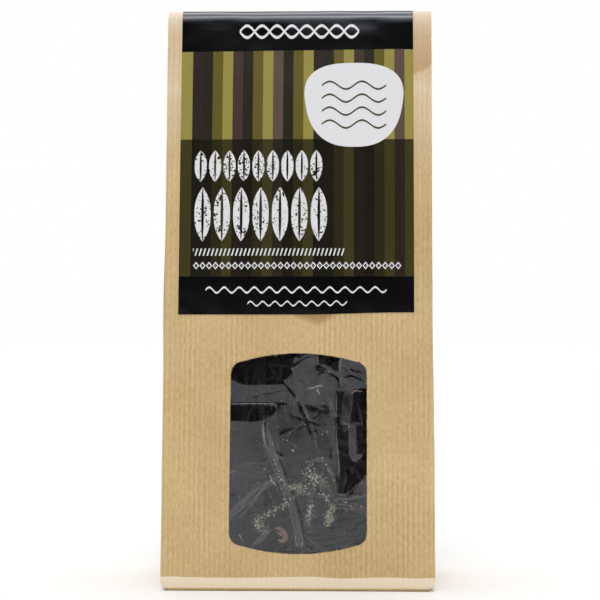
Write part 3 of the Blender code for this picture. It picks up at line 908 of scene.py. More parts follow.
def make_window_plug():
    """The window's outline as a plug that only the front's paper meets."""
    outline = window_outline(random.Random(TOOTH_SEED))
    select_nothing()
    bpy.ops.mesh.primitive_circle_add(vertices=len(outline), fill_type="NGON")
    plug = bpy.context.object
    for vert, (x, z) in zip(plug.data.vertices, outline):
        vert.co = (x, -BASE_HALF_DEPTH - 5 * MM, z)
    inwards = {"value": (0, BASE_HALF_DEPTH - 16 * MM, 0)}
    in_edit_mode(
        plug,
        lambda: bpy.ops.mesh.extrude_region_move(TRANSFORM_OT_translate=inwards),
        lambda: bpy.ops.mesh.select_all(action="SELECT"),
        outwards,
    )
    return plug


def make_bag(finish):
    bag, stations = laid_grid("bag_paper", crease_columns(), bag_rows(), paper, (AROUND, MOUTH))
    push_out(bag, stations, paper_relief)
    for vert in bag.data.vertices:
        vert.co.z = max(0.0, vert.co.z)
    in_edit_mode(bag, merge_touching)
    apply_modifier(bag, "SOLIDIFY", thickness=PAPER_THICKNESS, offset=-1, use_even_offset=False)
    plug = make_window_plug()
    apply_modifier(bag, "BOOLEAN", operation="DIFFERENCE", object=plug, solver="EXACT")
    bpy.data.objects.remove(plug)
    return dress(bag, finish, PAPER_SMOOTH)


def make_bottom_flaps(finish):
    """The two long flaps of the block bottom, one lapped over the other."""
    pieces = []
    for name, sign, low, past in (("inner_flap", 1, 0.13 * MM, 7 * MM),
                                  ("outer_flap", -1, 0, 10 * MM)):
        def place(a, b):
            start = sign * (UNDERSIDE - 1 * MM)
            y = start + (-sign * past - start) * b
            reach = BAG_WIDTH / 2 - 5 * MM - 22 * MM * ease(b, 0.45, 1.05) * 0.45
            return Vector((a * reach + 0.3 * MM * wander(a, b, 0.3), y, low + 0.06 * MM))
        flap, _ = laid_grid(name, steps(-1, 1, 0.08), steps(0, 1, 0.08), place)
        apply_modifier(flap, "SOLIDIFY", thickness=0.1 * MM, offset=0)
        in_edit_mode(flap, outwards)
        pieces.append(flap)
    return dress(join("bottom_flaps", pieces), finish, PAPER_SMOOTH)


# The label


def label_rows():
    """Stations along the label: (False, r) up the front and over to the flap's end, and from
    there down the back (True, z)."""
    found = steps(LABEL_FOOT, FOLD_START, 1.5 * MM)[:-1]
    found += steps(FOLD_START, FOLD_END, 0.16 * FOLD_RADIUS)[:-1]
    found += steps(FOLD_END, MOUTH + 0.6 * MM, 2 * MM)
    behind = steps(LABEL_BACK_BOTTOM, FOLD_Z - FLAP_LENGTH - LABEL_RAMP, 2 * MM)
    return [(False, r) for r in found] + [(True, z) for z in reversed(behind)]


def label_place(x, behind, at):
    """A point of the label and the station of the paper under it."""
    if behind:
        station = (BAG_WIDTH + SIDE + BAG_WIDTH / 2 - x, EDGE_END + at - BASE_EDGE_RADIUS)
        return Vector((x, panel_depth(x, at), at)), station
    near_foot = 1 - ease(at - LABEL_FOOT, 0, 12 * MM)
    at += LABEL_FOOT_RISE * ease(x, 2 * MM, 40 * MM) * near_foot
    return Vector((x, *front_track(x, at))), (x + BAG_WIDTH / 2, at)


def make_label():
    rows = label_rows()
    left = LABEL_OFFSET - LABEL_WIDTH / 2
    seam = [edge + aside for edge in (SEAM_LEFT, SEAM_RIGHT) for aside in (-0.4 * MM, 0.4 * MM)]
    columns = sorted(steps(left, left + LABEL_WIDTH, 1.6 * MM) + seam)
    runs = lengths_along([label_place(0, *row)[0] for row in rows])
    row_of = dict(zip(runs, rows))
    fold_run = runs[rows.index((False, FOLD_START))] + FOLD_RADIUS * math.pi / 2

    def place(x, run):
        return label_place(x, *row_of[run])[0]

    def relief(x, run):
        out = LABEL_LIFT + paper_relief(*label_place(x, *row_of[run])[1])
        for tall, before, wide, size, seed in HEADER_WAVES:
            wave = bump_at(run, fold_run - before * MM, wide * MM)
            out += tall * MM * wave * wander(x, 0, size * MM, seed)
        return out

    label, stations = laid_grid("label_sheet", columns, runs, place, (LABEL_WIDTH, runs[-1]), left)
    push_out(label, stations, relief)
    apply_modifier(label, "SOLIDIFY", thickness=LABEL_THICKNESS, offset=1, use_even_offset=False)
    return dress(label, label_finish(runs[-1], fold_run / MM), PAPER_SMOOTH)


# The film


# A strand that arches behind the film, presses a ridge in it and has salt on it
ARCHED_STRAND = [(3.0, 43.9), (6.0, 46.9), (8.9, 47.4), (11.5, 43.9), (13.9, 38.4)]

# Pleats and ridges of the film, as lines of (x, z) with how far each stands out and how wide it is
FILM_PLEATS = [
    ([(-12.7, 64.8), (-11.9, 54.8), (-10.4, 48.9), (-5.3, 36.4), (-1.4, 26.5), (-0.6, 16.5)], 0.15, 0.50),
    ([(-11.9, 63.4), (-12.1, 58.0), (-11.2, 53.0), (-9.7, 49.4)], 0.13, 0.26),
    ([(-10.4, 48.9), (-5.6, 37.0), (-1.7, 26.5), (-0.8, 16.5)], 0.12, 0.24),
    ([(-7.5, 49.5), (-3.7, 38.9), (0.8, 26.5), (1.9, 17.0)], 0.13, 0.50),
    ([(-7.3, 49.3), (-3.5, 38.9), (1.0, 26.5), (2.1, 17.0)], 0.11, 0.24),
    ([(-0.7, 18.5), (-0.6, 16.2), (0.1, 15.2), (1.3, 15.3), (2.0, 16.8), (1.9, 18.5)], 0.16, 0.26),
    ([(13.8, 72.2), (13.5, 57.8), (14.4, 48.0), (14.9, 38.9)], 0.16, 0.26),
    (ARCHED_STRAND + [(14.4, 35.9)], 0.13, 0.28),
    ([(3.2, 43.0), (4.6, 39.0), (4.0, 33.0)], 0.12, 0.30),
    ([(6.6, 43.8), (9.0, 44.0), (11.0, 40.5)], 0.12, 0.30),
    ([(6.0, 60.8), (8.0, 48.9)], 0.12, 0.28),
    ([(-24.9, 26.5), (-17.0, 32.5), (-10.5, 40.0)], 0.13, 0.30),
    ([(-21.5, 26.5), (-13.0, 37.5)], 0.10, 0.28),
    ([(-21.0, 29.5), (-15.5, 38.5)], 0.10, 0.30),
    ([(13.9, 34.4), (24.6, 34.9)], 0.10, 0.28),
    ([(13.9, 31.2), (24.6, 28.8)], 0.12, 0.30),
    ([(13.9, 32.6), (24.6, 31.6)], 0.08, 0.26),
    ([(-2.0, 81.0), (0.5, 82.6), (5.2, 85.0)], 0.20, 0.32),
    ([(-3.4, 84.8), (-3.0, 81.5), (-1.6, 80.6)], 0.18, 0.32),
    ([(-1.5, 80.8), (2.4, 83.4), (3.4, 84.4)], 0.14, 0.28),
    ([(6.4, 77.2), (9.5, 78.8), (14.6, 79.8)], 0.18, 0.30),
    ([(6.2, 77.2), (5.6, 75.2), (5.8, 73.4)], 0.12, 0.28),
    ([(9.0, 77.6), (12.5, 74.5)], 0.12, 0.28),
    ([(-20.4, 68.4), (-14.4, 70.2), (-9.0, 71.4), (-4.0, 72.5)], 0.16, 0.28),
    ([(-16.0, 70.8), (-12.4, 71.4)], 0.10, 0.26),
    ([(-24.0, 77.6), (-22.4, 75.6), (-20.5, 74.9)], 0.16, 0.34),
    ([(15.9, 76.4), (18.9, 77.4), (21.9, 76.4), (24.9, 75.0)], 0.18, 0.30),
    ([(17.4, 82.5), (19.5, 79.5), (22.6, 78.8), (24.6, 77.0)], 0.14, 0.30),
    ([(16.5, 82.0), (18.0, 78.5), (17.4, 75.5)], 0.12, 0.28),
    ([(-3.4, 80.6), (3.6, 74.6), (5.4, 72.8)], -0.12, 0.26),
    ([(4.4, 75.5), (5.2, 79.8)], -0.10, 0.26),
    ([(7.5, 81.8), (11.5, 79.6), (14.9, 77.2), (15.4, 73.8)], -0.50, 0.50),
    ([(-4.9, 75.6), (-1.2, 71.3), (1.3, 66.9), (3.2, 62.5)], -0.48, 0.46),
    ([(1.3, 66.9), (4.8, 58.0), (7.0, 49.5)], -0.06, 0.55),
    ([(-8.6, 50.5), (-2.0, 46.0), (2.5, 44.5)], 0.10, 0.60),
    ([(-15.0, 44.5), (-11.0, 48.5)], 0.12, 0.30),
    ([(3.0, 16.0), (12.0, 20.0), (24.0, 23.0)], 0.09, 0.60),
    ([(-9.0, 15.0), (-3.0, 20.5)], 0.08, 0.50),
]


def film_pleats(draw):
    """Each pleat with the box it lies in, its short straight stretches and its width."""
    lines = [(even_steps(catmull_rom(line, 6), 1.5), rise, wide) for line, rise, wide in FILM_PLEATS]
    for _ in range(FINE_PLEATS):
        x, z = draw.uniform(-24, 12), draw.uniform(14, 70)
        angle, length = draw.uniform(0, math.tau), draw.uniform(4, 15)
        end = (x + math.cos(angle) * length, z + math.sin(angle) * length)
        rise, wide = draw.uniform(-0.09, 0.09), draw.uniform(0.3, 0.6)
        lines.append((even_steps([(x, z), end], 1.5), rise, wide))
    found = []
    for line, rise, wide in lines:
        reach = 2.6 * wide
        xs, zs = zip(*line)
        box = (min(xs) - reach, max(xs) + reach, min(zs) - reach, max(zs) + reach)
        stretches = []
        for i, (a, b) in enumerate(zip(line, line[1:])):
            end = min(1.0, min(i + 1, len(line) - 1 - i) / 3)
            stretches.append((a, b, rise * end * draw.uniform(0.75, 1.2)))
        found.append((box, stretches, wide))
    return found


def pleat_height(x, z, pleat):
    (left, right, low, high), stretches, wide = pleat
    best = 0.0
    if left < x < right and low < z < high:
        for (ax, az), (bx, bz), rise in stretches:
            dx, dz = bx - ax, bz - az
            share = ((x - ax) * dx + (z - az) * dz) / (dx * dx + dz * dz)
            share = min(1.0, max(0.0, share))
            here = rise * bump_at(math.hypot(x - ax - share * dx, z - az - share * dz), 0, wide)
            if abs(here) > abs(best):
                best = here
    return best


# Points of the stiff flat facets at the film's top, as (x, z): the first eleven don't lie back
FACET_POINTS = [
    (-5.5, 87), (-3.4, 80.6), (-4.9, 75.6), (-1.2, 71.3), (1.3, 66.9), (6, 64.5), (13.4, 64),
    (13.4, 72.2), (15.4, 73.6), (19, 73.6), (26.5, 73.6), (26.5, 80), (26.5, 88.5), (15, 88.5),
    (5, 88.5), (-1.0, 79.6), (1.8, 77.0), (5.4, 72.8), (0.5, 84.2), (4.4, 81.2), (3.2, 86.2),
    (6.2, 77.8), (11.5, 79.4), (9.4, 75.8), (8.6, 82.4), (14.8, 82.6), (18.0, 80.8), (17.0, 77.2),
    (20.8, 77.6), (23.2, 80.4), (22.4, 75.4), (20.4, 84.4), (8.2, 69.6), (3.6, 69.4), (11.2, 73.4),
]
UNMOVED_FACET_POINTS = 11


def facets(draw):
    """Flat triangles between the facet points, each with its corners and their depths."""
    _, _, triangles, *_ = geometry.delaunay_2d_cdt([Vector(p) for p in FACET_POINTS], [], [], 0, 1e-6)
    deep = [-0.05 * (z - 72) + draw.uniform(-0.2, 0.2) for _, z in FACET_POINTS]
    deep[:UNMOVED_FACET_POINTS] = [0.0] * UNMOVED_FACET_POINTS
    return [[(*FACET_POINTS[i], deep[i]) for i in corners] for corners in triangles]


def facet_depth(x, z, triangles):
    """How far back the facets are, or nothing outside them."""
    for (ax, az, ad), (bx, bz, bd), (cx, cz, cd) in triangles:
        whole = (bx - ax) * (cz - az) - (cx - ax) * (bz - az)
        b = ((x - ax) * (cz - az) - (cx - ax) * (z - az)) / whole
        c = ((bx - ax) * (z - az) - (x - ax) * (bz - az)) / whole
        if b >= 0 and c >= 0 and b + c <= 1:
            return ad + (bd - ad) * b + (cd - ad) * c
    return 0.0


def tilted_patches(x, z):
    """Patches where the film leans back or turns aside, so that it mirrors the dark of the room."""
    deep = 0.0
    pit = 1 - ease(x - 0.35 * (z - 80), -4.5, -2.8)
    deep += pit * 0.135 * max(0.0, z - 74.6 - 0.5 * max(0.0, -20 - x))
    low_edge = 61.2 + 0.05 * (x + 17) ** 2 * (1 if x > -17 else 0.2)
    if x < -8.4 and low_edge < z < 67.6:
        deep += 0.145 * (z - low_edge) * (1 - ease(z, 67.2, 67.6))
    if x > 13.6:
        middle, half = (17.2 + 0.12 * (z - 60), 1.7) if z > 60.5 else (20.2 - 0.03 * (z - 47), 1.4)
        half *= ease(z, 46.5, 49.5)
        flat = min(max(x - middle + half, 0.0), 2 * half)
        rising = 0.2 * (z - 35.4 - 1.4 * max(0.0, x - 20))
        deep += max(0.0, min(0.23 * (x - 13.6 - flat), rising)) * (1 - ease(z, 72.4, 73.4))
    cap = ease(x, 6.5, 8.0) * (1 - ease(x, 14.6, 16.0)) * ease(z + 0.2 * x, 80.8, 82.0)
    deep += cap * 0.16 * max(0.0, z + 0.2 * x - 80.8)
    middle = ease(x, -8, -6) * (1 - ease(x, 11, 13)) * ease(z, 45, 49) * (1 - ease(z, 67, 71))
    band = (1 - ease(x, -5, -2)) * ease(z, 67.4, 68.2)
    return deep + middle * 0.038 * (z - 57) - band * 0.08 * (min(z, 74.6) - 71)


def film_depth(x, z, pleats, triangles):
    """How far the film falls back from where it is stretched, at x, z in millimetres."""
    upper = ease(z, 46, 60)
    faceted = 1 - ease(z, 70, 75) * ease(x, -5, -2)
    deep = 0.26 * wander(x, z, 17, 1.7) * (0.35 + 0.65 * upper) * faceted
    deep += 0.07 * abs(wander(1.8 * x + 0.4 * z, 0.6 * z, 6.5, 4.1)) * (0.4 + upper) * faceted
    deep += 0.009 * wander(x, z, 2.6, 9.3) * (1 - 0.6 * upper) * ease(x, -16, -6)
    deep += tilted_patches(x, z)
    if z > 60 and x > -6:
        deep += facet_depth(x, z, triangles)
    deep -= sum(pleat_height(x, z, pleat) for pleat in pleats)
    return max(-0.62, deep)


def make_film(finish):
    reach = WINDOW_HALF_WIDTH + FILM_MARGIN
    low, high = WINDOW_BOTTOM - FILM_MARGIN, WINDOW_TOP + FILM_MARGIN
    pleats = film_pleats(random.Random(PLEAT_SEED))
    triangles = facets(random.Random(FACET_SEED))

    def place(x, z):
        edge = ease(min(reach - abs(x), z - low, high - z), 2.0 * MM, 5.4 * MM)
        behind = FILM_BEHIND + film_depth(x / MM, z / MM, pleats, triangles) * MM * edge
        return Vector((x, -panel_depth(x, z) + behind, z))

    columns, rows = steps(-reach, reach, FILM_GRID), steps(low, high, FILM_GRID)
    film, _ = laid_grid("clear_film_sheet", columns, rows, place, (0.1, 0.1))
    apply_modifier(film, "SOLIDIFY", thickness=FILM_THICKNESS, offset=-1)
    return dress(film, finish, FILM_SMOOTH)


# The seaweed


def catmull_rom(points, count):
    """Points along a smooth curve through the given points, count for each stretch."""
    padded = [points[0], *points, points[-1]]
    found = []
    for i in range(1, len(padded) - 2):
        corners = list(zip(*padded[i - 1 : i + 3]))
        for k in range(count):
            t = k / count
            found.append(tuple(0.5 * (2 * q + (r - p) * t + (2 * p - 5 * q + 4 * r - s) * t * t
                                      + (3 * q - p - 3 * r + s) * t**3) for p, q, r, s in corners))
    return found + [tuple(points[-1])]


def frond_plan(draw):
    """A frond's stem and side branch in a unit square: up, round a bend, down and forked."""
    first, second, third = -0.72 + draw.uniform(0, 0.2), draw.uniform(-0.1, 0.1), 0.75
    top, rest = draw.uniform(0.75, 1), draw.uniform(-0.9, -0.5)
    fork = draw.uniform(-0.1, 0.35)
    sway = [draw.uniform(-0.16, 0.16) for _ in range(5)]
    stem = [
        (first, -0.95),
        (first + sway[0], -0.3),
        (first + sway[1] + 0.05, 0.4),
        ((first + second) / 2, top),
        (second - 0.04, 0.5),
        (second, fork),
        (second - 0.12 + sway[2] * 0.5, -0.35),
        (second - 0.06 + sway[3] * 0.5, rest),
    ]
    branch = [
        (second - 0.01, fork + 0.06),
        (second + 0.22, fork - 0.25),
        (third - 0.18, fork - 0.3 + sway[4]),
        (third, draw.uniform(0.0, 0.5)),
        (third - 0.12, draw.uniform(0.6, 0.95)),
    ]
    return stem, branch


def in_layer(x, z, layer):
    """The point at x, z in a layer of the bag, which runs from -1 at the front to 1 at the back."""
    return (x, layer * (panel_depth(x, z) - FRONT_CLEARANCE), z)


def placed(plan, layer, top, turned, mirrored, upended):
    """The plan laid in the bag within its folded sides."""
    found = []
    for p, q in plan:
        if turned:
            p, q = q, -p
        if mirrored:
            p = -p
        if upended:
            q = -q
        z = FROND_FLOOR + (q + 1) / 2 * (top - FROND_FLOOR)
        deep = half_depth(z) - FRONT_CLEARANCE
        u = abs(layer) * deep / corner_depth(z)
        room = half_width(z) - gusset_in(u, z) - SIDE_CLEARANCE
        found.append(in_layer(p * room, z, layer))
    return found


def frond_lines(index, draw):
    """The middle lines of a frond's stem and side branch, as in the solids."""
    layer = LAYER_REACH * (2 * index / (FROND_COUNT - 1) - 1)
    if index < len(FRONT_FRONDS):
        plans = [catmull_rom(plan, CURVE_STEPS) for plan in FRONT_FRONDS[index]]
        return [[in_layer(x * MM, z * MM, layer) for x, z in plan] for plan in plans]
    top = draw.uniform(*(SHORT_FROND_TOP if index % 2 else LONG_FROND_TOP))
    turned = index % 3 == 1
    mirrored, upended = draw.random() < 0.5, draw.random() < 0.5
    plans = [catmull_rom(plan, CURVE_STEPS) for plan in frond_plan(draw)]
    return [placed(plan, layer, top, turned, mirrored, upended) for plan in plans]


def strap(name, line, width, thickness, sides, step, seed):
    """A shrivelled strap along a line: furrowed, cupped, twisted, pointed at its ends."""
    line = even_steps(line, step)
    last = len(line) - 1
    length = last * step
    frames = []
    for i, point in enumerate(line):
        tangent = (Vector(line[min(last, i + 2)]) - Vector(line[max(0, i - 2)])).normalized()
        across = Vector((0, 1, 0)).cross(tangent).normalized()
        frames.append((Vector(point), across, tangent.cross(across).normalized()))

    def place(angle, i):
        point, across, out = frames[i]
        run = i * step
        end = min(1.0, math.sqrt(min(run, length - run) / STRAP_POINT))
        wide = width / 2 * end * (0.9 + 0.28 * wander(run, 0, 14 * MM, seed))
        thick = thickness / 2 * end * (0.72 + 0.4 * wander(run, 0, 9 * MM, seed + 3))
        turn = 0.55 * wander(run, 0, 26 * MM, seed + 7)
        cupped = 0.5 * thickness * end * wander(run, 0, 17 * MM, seed + 11)
        ripple = 1 + 0.16 * math.cos(4 * angle + 1.5 * wander(run, 0, 11 * MM, seed))
        side = wide * math.cos(angle) * (1 + 0.06 * math.cos(7 * angle))
        rise = thick * math.sin(angle) * ripple + cupped * (math.cos(angle) ** 2 - 0.4)
        rise += STRAP_FURROW * end * wander(run, angle * MM, 1.7 * MM, seed + 5)
        side, rise = (side * math.cos(turn) - rise * math.sin(turn),
                      side * math.sin(turn) + rise * math.cos(turn))
        return point + across * side + out * rise

    angles = [math.tau * k / sides for k in range(sides + 1)]
    piece, _ = laid_grid(name, angles, range(last + 1), place, (math.tau, 1 / (step * 40)))
    in_edit_mode(piece, merge_touching, outwards)
    return piece


def make_fronds(finish, film_sheened):
    draw = random.Random(SEED)
    fronds = []
    for index in range(FROND_COUNT):
        lines = frond_lines(index, draw)
        draw.random()  # the solids' draw takes one more number here
        wide, thick, seed = FROND_WIDTH, FROND_THICKNESS, index * 3.7
        parts = []
        for line in lines:
            parts.append(strap("stem", line, wide, thick, FROND_SIDES, FROND_STEP, seed))
            wide, thick, seed = wide * BRANCH_WIDTH_SHARE, thick * BRANCH_THICKNESS_SHARE, seed + 1.9
        frond = join(f"seaweed_strap_{index + 1:02d}", parts)
        dress(frond, film_sheened if index == 0 else finish, STRAP_SMOOTH)
        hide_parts(f"seaweed_frond_{index + 1:02d}")
        fronds.append(frond)
    return fronds


def make_thin_strands(finish):
    """Thinner strands that fill the space between and behind the fronds."""
    draw = random.Random(THIN_SEED)
    parts = []
    for index in range(THIN_STRANDS):
        layer = draw.uniform(-0.9, 0.9) if index % 2 else draw.uniform(-0.92, -0.1)
        top = draw.uniform(70, 120) * MM
        plan = catmull_rom(frond_plan(draw)[0], CURVE_STEPS)
        turned, mirrored, upended = (draw.random() < 0.5 for _ in range(3))
        line = placed(plan, layer, top, turned, mirrored, upended)
        slid = draw.uniform(-7, 7) * MM
        line = [(x * 0.9 + slid * (1 - abs(x) / (50 * MM)), y, z) for x, y, z in line]
        width = draw.uniform(1.1, 2.3) * MM
        parts.append(strap("strand", line, width, width * 0.55, THIN_SIDES, THIN_STEP,
                           60 + index * 2.3))
    return dress(join("thin_strands", parts), finish, STRAP_SMOOTH)


# Salt behind the film: lines of (x, z) in millimetres, with their spread and how many grains
SALT_LINES = [
    ([(-15.0, 25.5), (-14.4, 23.5), (-12.6, 22.2)], 1.9, 210),
    ([(-12.5, 26.8), (-8.0, 29.5), (-3.1, 32.3)], 1.7, 190),
    ([(-3.0, 37.8), (0.0, 37.0), (2.6, 36.0)], 2.0, 170),
    (ARCHED_STRAND, 0.8, 70),
    ([(4.2, 44.0), (5.0, 40.5), (8.0, 41.5), (7.0, 38.5), (9.5, 39.5)], 2.6, 300),
    ([(8.0, 35.0), (10.0, 33.5), (11.8, 32.0)], 1.4, 80),
    ([(12.8, 30.6), (11.8, 28.0), (10.6, 24.4)], 1.5, 320),
    ([(12.6, 26.4), (11.9, 24.8)], 0.9, 60),
    ([(4.6, 30.0), (4.0, 26.0), (3.0, 23.6)], 1.6, 150),
    ([(-9.9, 41.4), (-9.3, 39.3), (-8.0, 38.0)], 0.3, 44),
    ([(-9.0, 47.5), (-7.0, 42.0), (-4.6, 37.0)], 1.0, 60),
    ([(3.6, 73.2), (6.0, 73.8), (9.0, 74.6)], 0.5, 46),
    ([(7.0, 73.6), (7.8, 71.4)], 0.3, 16),
    ([(8.0, 56.0), (11.0, 58.0), (13.6, 59.2)], 1.3, 20),
    ([(-4.4, 55.4), (-2.6, 57.4)], 0.35, 12),
    ([(-21.0, 20.0), (-19.8, 17.4)], 0.25, 18),
    ([(-2.0, 50.0), (-1.0, 52.0)], 0.6, 14),
    ([(14.0, 33.0), (19.0, 31.5), (24.5, 30.0)], 0.7, 44),
    ([(-22.0, 60.0), (20.0, 20.0)], 16.0, 90),
    ([(-0.9, 19.4), (-0.7, 17.6), (-0.2, 16.4), (0.7, 15.9), (1.5, 16.6), (1.9, 18.6)], 0.15, 46),
]


def behind_film(x, z, deep):
    """A point deep behind the film, from x, z in millimetres."""
    return Vector((x * MM, -panel_depth(x * MM, z * MM) + FILM_BEHIND + deep * MM, z * MM))


def make_salt(finish):
    draw = random.Random(SALT_SEED)
    select_nothing()
    bpy.ops.mesh.primitive_ico_sphere_add(subdivisions=1, radius=1)
    grain = bpy.context.object
    grains = []
    for line, spread, count in SALT_LINES:
        curve = even_steps(line, 0.5)
        for _ in range(count):
            x, z = draw.choice(curve)
            x += draw.gauss(0, spread / 2)
            z += draw.gauss(0, spread / 2)
            if not (-27 < x < 27 and 11 < z < 88):
                continue
            copy = grain.copy()
            copy.data = grain.data.copy()
            bpy.context.collection.objects.link(copy)
            size = draw.choice((0.05, 0.07, 0.09, 0.12, 0.18)) * draw.uniform(0.7, 1.2) * MM
            squash = [draw.uniform(*limits) for limits in ((0.6, 1.4), (0.5, 0.9), (0.6, 1.4))]
            middle = behind_film(x, z, draw.uniform(0.7, 1.4))
            for vert in copy.data.vertices:
                bent = vert.co * (1 + 0.35 * draw.uniform(-1, 1))
                vert.co = middle + Vector(c * q for c, q in zip(bent, squash)) * size
            grains.append(copy)
    bpy.data.objects.remove(grain)
    salt = join("salt_grains", grains)
    salt.data.materials.clear()
    salt.data.materials.append(finish)
    return salt


def straps_behind_film(name, lines, finish, seed):
    """Thin straps just behind the film, from lines of (x, z) with their width and depth."""
    parts = []
    for number, (line, wide, thick, deep) in enumerate(lines):
        draw = random.Random(seed + number)
        nearer, swing, start = (draw.uniform(-0.25, 0.25) for _ in range(3))
        curve = catmull_rom(line, 10)
        points = []
        for i, (x, z) in enumerate(curve):
            drift = nearer + swing * math.sin(3 * i / (len(curve) - 1) + start * 9)
            points.append(behind_film(x, z, deep + drift))
        parts.append(strap("thin", points, wide * MM, thick * MM, THIN_SIDES, FINE_STEP,
                           seed + number * 1.7))
    return dress(join(name, parts), finish, STRAP_SMOOTH)


# Lines of (x, z) with width, thickness and depth behind the film
SCRAPS = [
    ([(-8.6, 22.4), (-6.6, 22.4), (-4.8, 21.0), (-4.3, 18.8), (-5.9, 17.8), (-7.2, 18.6)], 1.7, 0.6, 1.3),
    ([(-8.0, 21.4), (-6.0, 20.2), (-4.6, 19.6)], 1.3, 0.5, 1.5),
    ([(-25.4, 41.4), (-23.6, 43.2), (-21.8, 42.4)], 0.8, 0.3, 1.2),
    ([(-24.6, 40.4), (-23.0, 42.0)], 0.5, 0.3, 1.2),
    ([(19.4, 71.5), (21.4, 72.5), (23.0, 71.9)], 0.8, 0.35, 1.2),
    ([(-9.9, 41.6), (-9.2, 39.4), (-8.2, 38.2)], 0.7, 0.3, 1.2),
]
PALE_STRANDS = [
    ([(-16.6, 16.2), (-13.8, 18.2), (-11.8, 20.6), (-9.4, 21.9)], 2.2, 0.7, 2.6),
    ([(-24.9, 26.2), (-17.0, 32.3), (-10.2, 40.2)], 0.8, 0.4, 1.4),
    ([(-22.0, 25.6), (-15.0, 33.0), (-11.6, 39.0)], 0.6, 0.3, 1.7),
    ([(-21.2, 29.0), (-18.0, 34.0), (-15.0, 38.6), (-13.0, 37.8)], 0.5, 0.3, 1.5),
    ([(13.6, 33.4), (19.0, 33.2), (25.0, 34.6)], 0.6, 0.3, 1.4),
    ([(13.6, 31.4), (19.0, 30.6), (25.0, 28.6)], 0.7, 0.35, 1.5),
    ([(12.8, 29.8), (18.0, 29.6), (25.0, 27.8)], 0.5, 0.3, 1.7),
    ([(13.0, 34.6), (18.0, 35.0), (22.0, 38.5), (24.6, 39.5)], 0.5, 0.3, 1.8),
    ([(2.0, 20.5), (6.0, 17.0), (12.0, 14.0)], 0.5, 0.4, 1.9),
    ([(-12.3, 63.6), (-12.6, 57.5), (-11.5, 52.6), (-9.9, 49.2), (-8.7, 46.5)], 0.4, 0.25, 1.3),
    ([(-1.2, 20.5), (-0.9, 17.8), (-0.3, 16.3), (0.7, 15.9), (1.5, 16.5), (1.9, 18.2), (1.8, 20.5)],
     0.4, 0.25, 1.0),
]
CRUSTED_STRANDS = [
    (ARCHED_STRAND + [(14.4, 34.0)], 1.6, 0.9, 1.6),
    ([(4.5, 44.0), (5.6, 39.0), (4.6, 33.0), (4.2, 25.5)], 1.7, 0.9, 1.8),
    ([(-15.4, 24.0), (-13.5, 26.0), (-9.0, 28.5), (-3.0, 32.2), (2.0, 36.5)], 1.7, 0.9, 1.8),
    ([(8.0, 41.5), (11.8, 36.0), (12.8, 30.0), (10.8, 24.0)], 1.8, 1.0, 1.7),
    ([(-3.5, 38.0), (2.0, 37.5), (7.0, 40.0), (9.5, 44.0)], 1.6, 0.8, 2.0),
]


# The studio


def make_camera():
    bpy.ops.object.camera_add(
        location=(CAMERA_AWAY * math.sin(CAMERA_TURN), -CAMERA_AWAY * math.cos(CAMERA_TURN),
                  CAMERA_HEIGHT),
        rotation=(math.pi / 2, 0, CAMERA_TURN))
    camera = bpy.context.object
    camera.data.lens = CAMERA_LENS
    camera.data.sensor_width = 36
    bpy.context.scene.camera = camera


def make_floor():
    select_nothing()
    bpy.ops.mesh.primitive_plane_add(size=8, location=(0, 0, -0.0001))
    floor = bpy.context.object
    floor.name = "studio_floor"
    pale = Finish("pale_floor")
    floor.data.materials.append(pale.set(Base_Color=(0.92, 0.92, 0.92, 1), Roughness=0.7,
                                         Specular_IOR_Level=0.1))


ROOM_LIGHT = 0.7
CAMERA_AWAY = 0.75
CAMERA_HEIGHT = 0.10555
CAMERA_TURN = math.radians(1.8)
CAMERA_LENS = 119.2


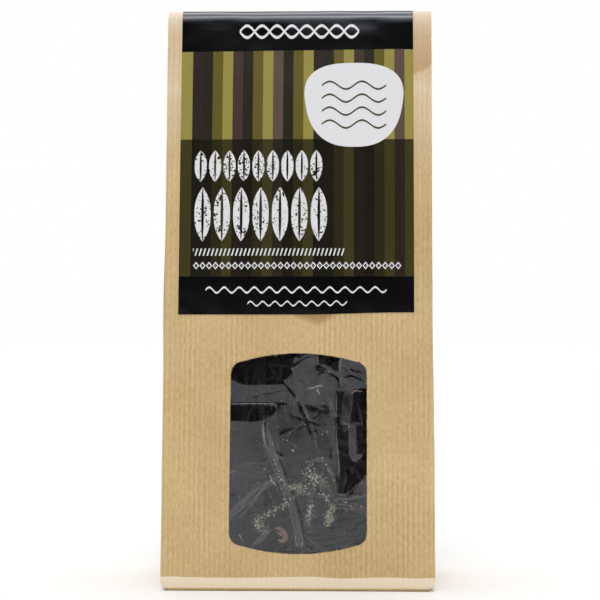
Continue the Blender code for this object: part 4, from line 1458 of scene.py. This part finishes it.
def light_room():
    """A white room, bright low down and overhead, dark between, a narrow row of lamps above."""
    world = bpy.data.worlds.new("studio")
    bpy.context.scene.world = world
    world.use_nodes = True
    room = Nodes(world.node_tree)

    def levels(value, stops):
        """Brightness against one part of the direction, as (part, brightness) pairs."""
        found = stops[0][1]
        for (low, first), (high, second) in zip(stops, stops[1:]):
            found = room.between(value, low, high, 0.0, second - first) + found
        return found

    aside, back, up = room.split(room.add("ShaderNodeTexCoord").outputs["Generated"])
    upwards = levels(up, [(-0.1, 1.5), (0.07, 1.5), (0.2, 1.0), (0.245, 0.02), (0.55, 0.02),
                          (0.7, 0.3), (0.8, 0.8), (0.9, 2.0), (0.97, 3.5), (1.0, 3.5)])
    across = levels(aside, [(-1.0, 1.5), (-0.9, 2.4), (-0.55, 2.4), (-0.3, 1.2), (0.0, 1.0),
                            (0.28, 0.85), (0.38, 0.04), (0.56, 0.04), (0.64, 2.4), (0.9, 2.4),
                            (1.0, 1.5)])
    across = (across - 1) * levels(up, [(0.3, 1.0), (0.6, 0.0)]) + 1
    lamps = levels(back, [(-0.855, 0.0), (-0.842, 0.25), (-0.83, 1.1), (-0.8, 2.2), (-0.71, 3.7),
                          (-0.63, 7.0), (-0.53, 12.0), (-0.42, 5.0), (-0.3, 1.0), (-0.19, 0.0),
                          (-0.05, 1.5), (0.05, 4.2), (0.31, 4.6), (0.5, 1.5), (0.8, 0.6),
                          (0.92, 0.0)])
    lamps *= levels(abs(aside), [(0.13, 1.0), (0.22, 0.0)])
    lamps *= levels(up, [(0.3, 0.0), (0.4, 1.0)])
    level = (upwards * across + lamps) * ROOM_LIGHT
    seen = room.add("ShaderNodeLightPath").outputs["Is Camera Ray"]
    level = room.value("ShaderNodeMix", {"Factor": seen, 2: level, 3: 1.0})
    set_inputs(room.tree.nodes["Background"], {"Strength": level, "Color": (1, 1, 1, 1)})


def main():
    make_camera()
    make_floor()
    light_room()
    bpy.context.scene.view_settings.view_transform = "Standard"
    kraft = kraft_finish()
    bag = make_bag(kraft)
    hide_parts("paper_bag")
    flaps = make_bottom_flaps(kraft)
    label = make_label()
    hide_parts("printed_label")
    film = make_film(film_finish())
    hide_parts("window_film")
    weed = weed_finish("dried_seaweed", 0.0, 0.7)
    # The front frond's weed, with a painted reflection of the film below 62 mm
    film_sheened = weed_finish("seaweed_painted_sheen", 0.4, 0.66, srgb(112, 112, 114), 62 * MM)
    fronds = make_fronds(weed, film_sheened)
    strands = make_thin_strands(weed_finish("thin_seaweed", 0.0, 0.74))
    pale = weed_finish("pale_seaweed", 0.42, 0.62, srgb(134, 128, 117))
    pale = straps_behind_film("pale_strands", PALE_STRANDS, pale, 400)
    crusted = weed_finish("crusted_seaweed", 0.12, 0.6)
    crusted = straps_behind_film("crusted_strands", CRUSTED_STRANDS, crusted, 500)
    salt = make_salt(plain_finish("salt_crystals", srgb(222, 214, 190), 0.35))
    scraps = plain_finish("red_brown_scraps", srgb(120, 94, 80), 0.4, 0.5)
    scraps = straps_behind_film("brown_scraps", SCRAPS, scraps, 300)
    slots = {"kraft_paper": [bag, flaps], "printed_paper": [label], "clear_film": [film],
             "dried_seaweed": [*fronds, strands, pale, crusted, salt, scraps]}
    for slot, pieces in slots.items():
        for piece in pieces:
            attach(piece, "root")


main()
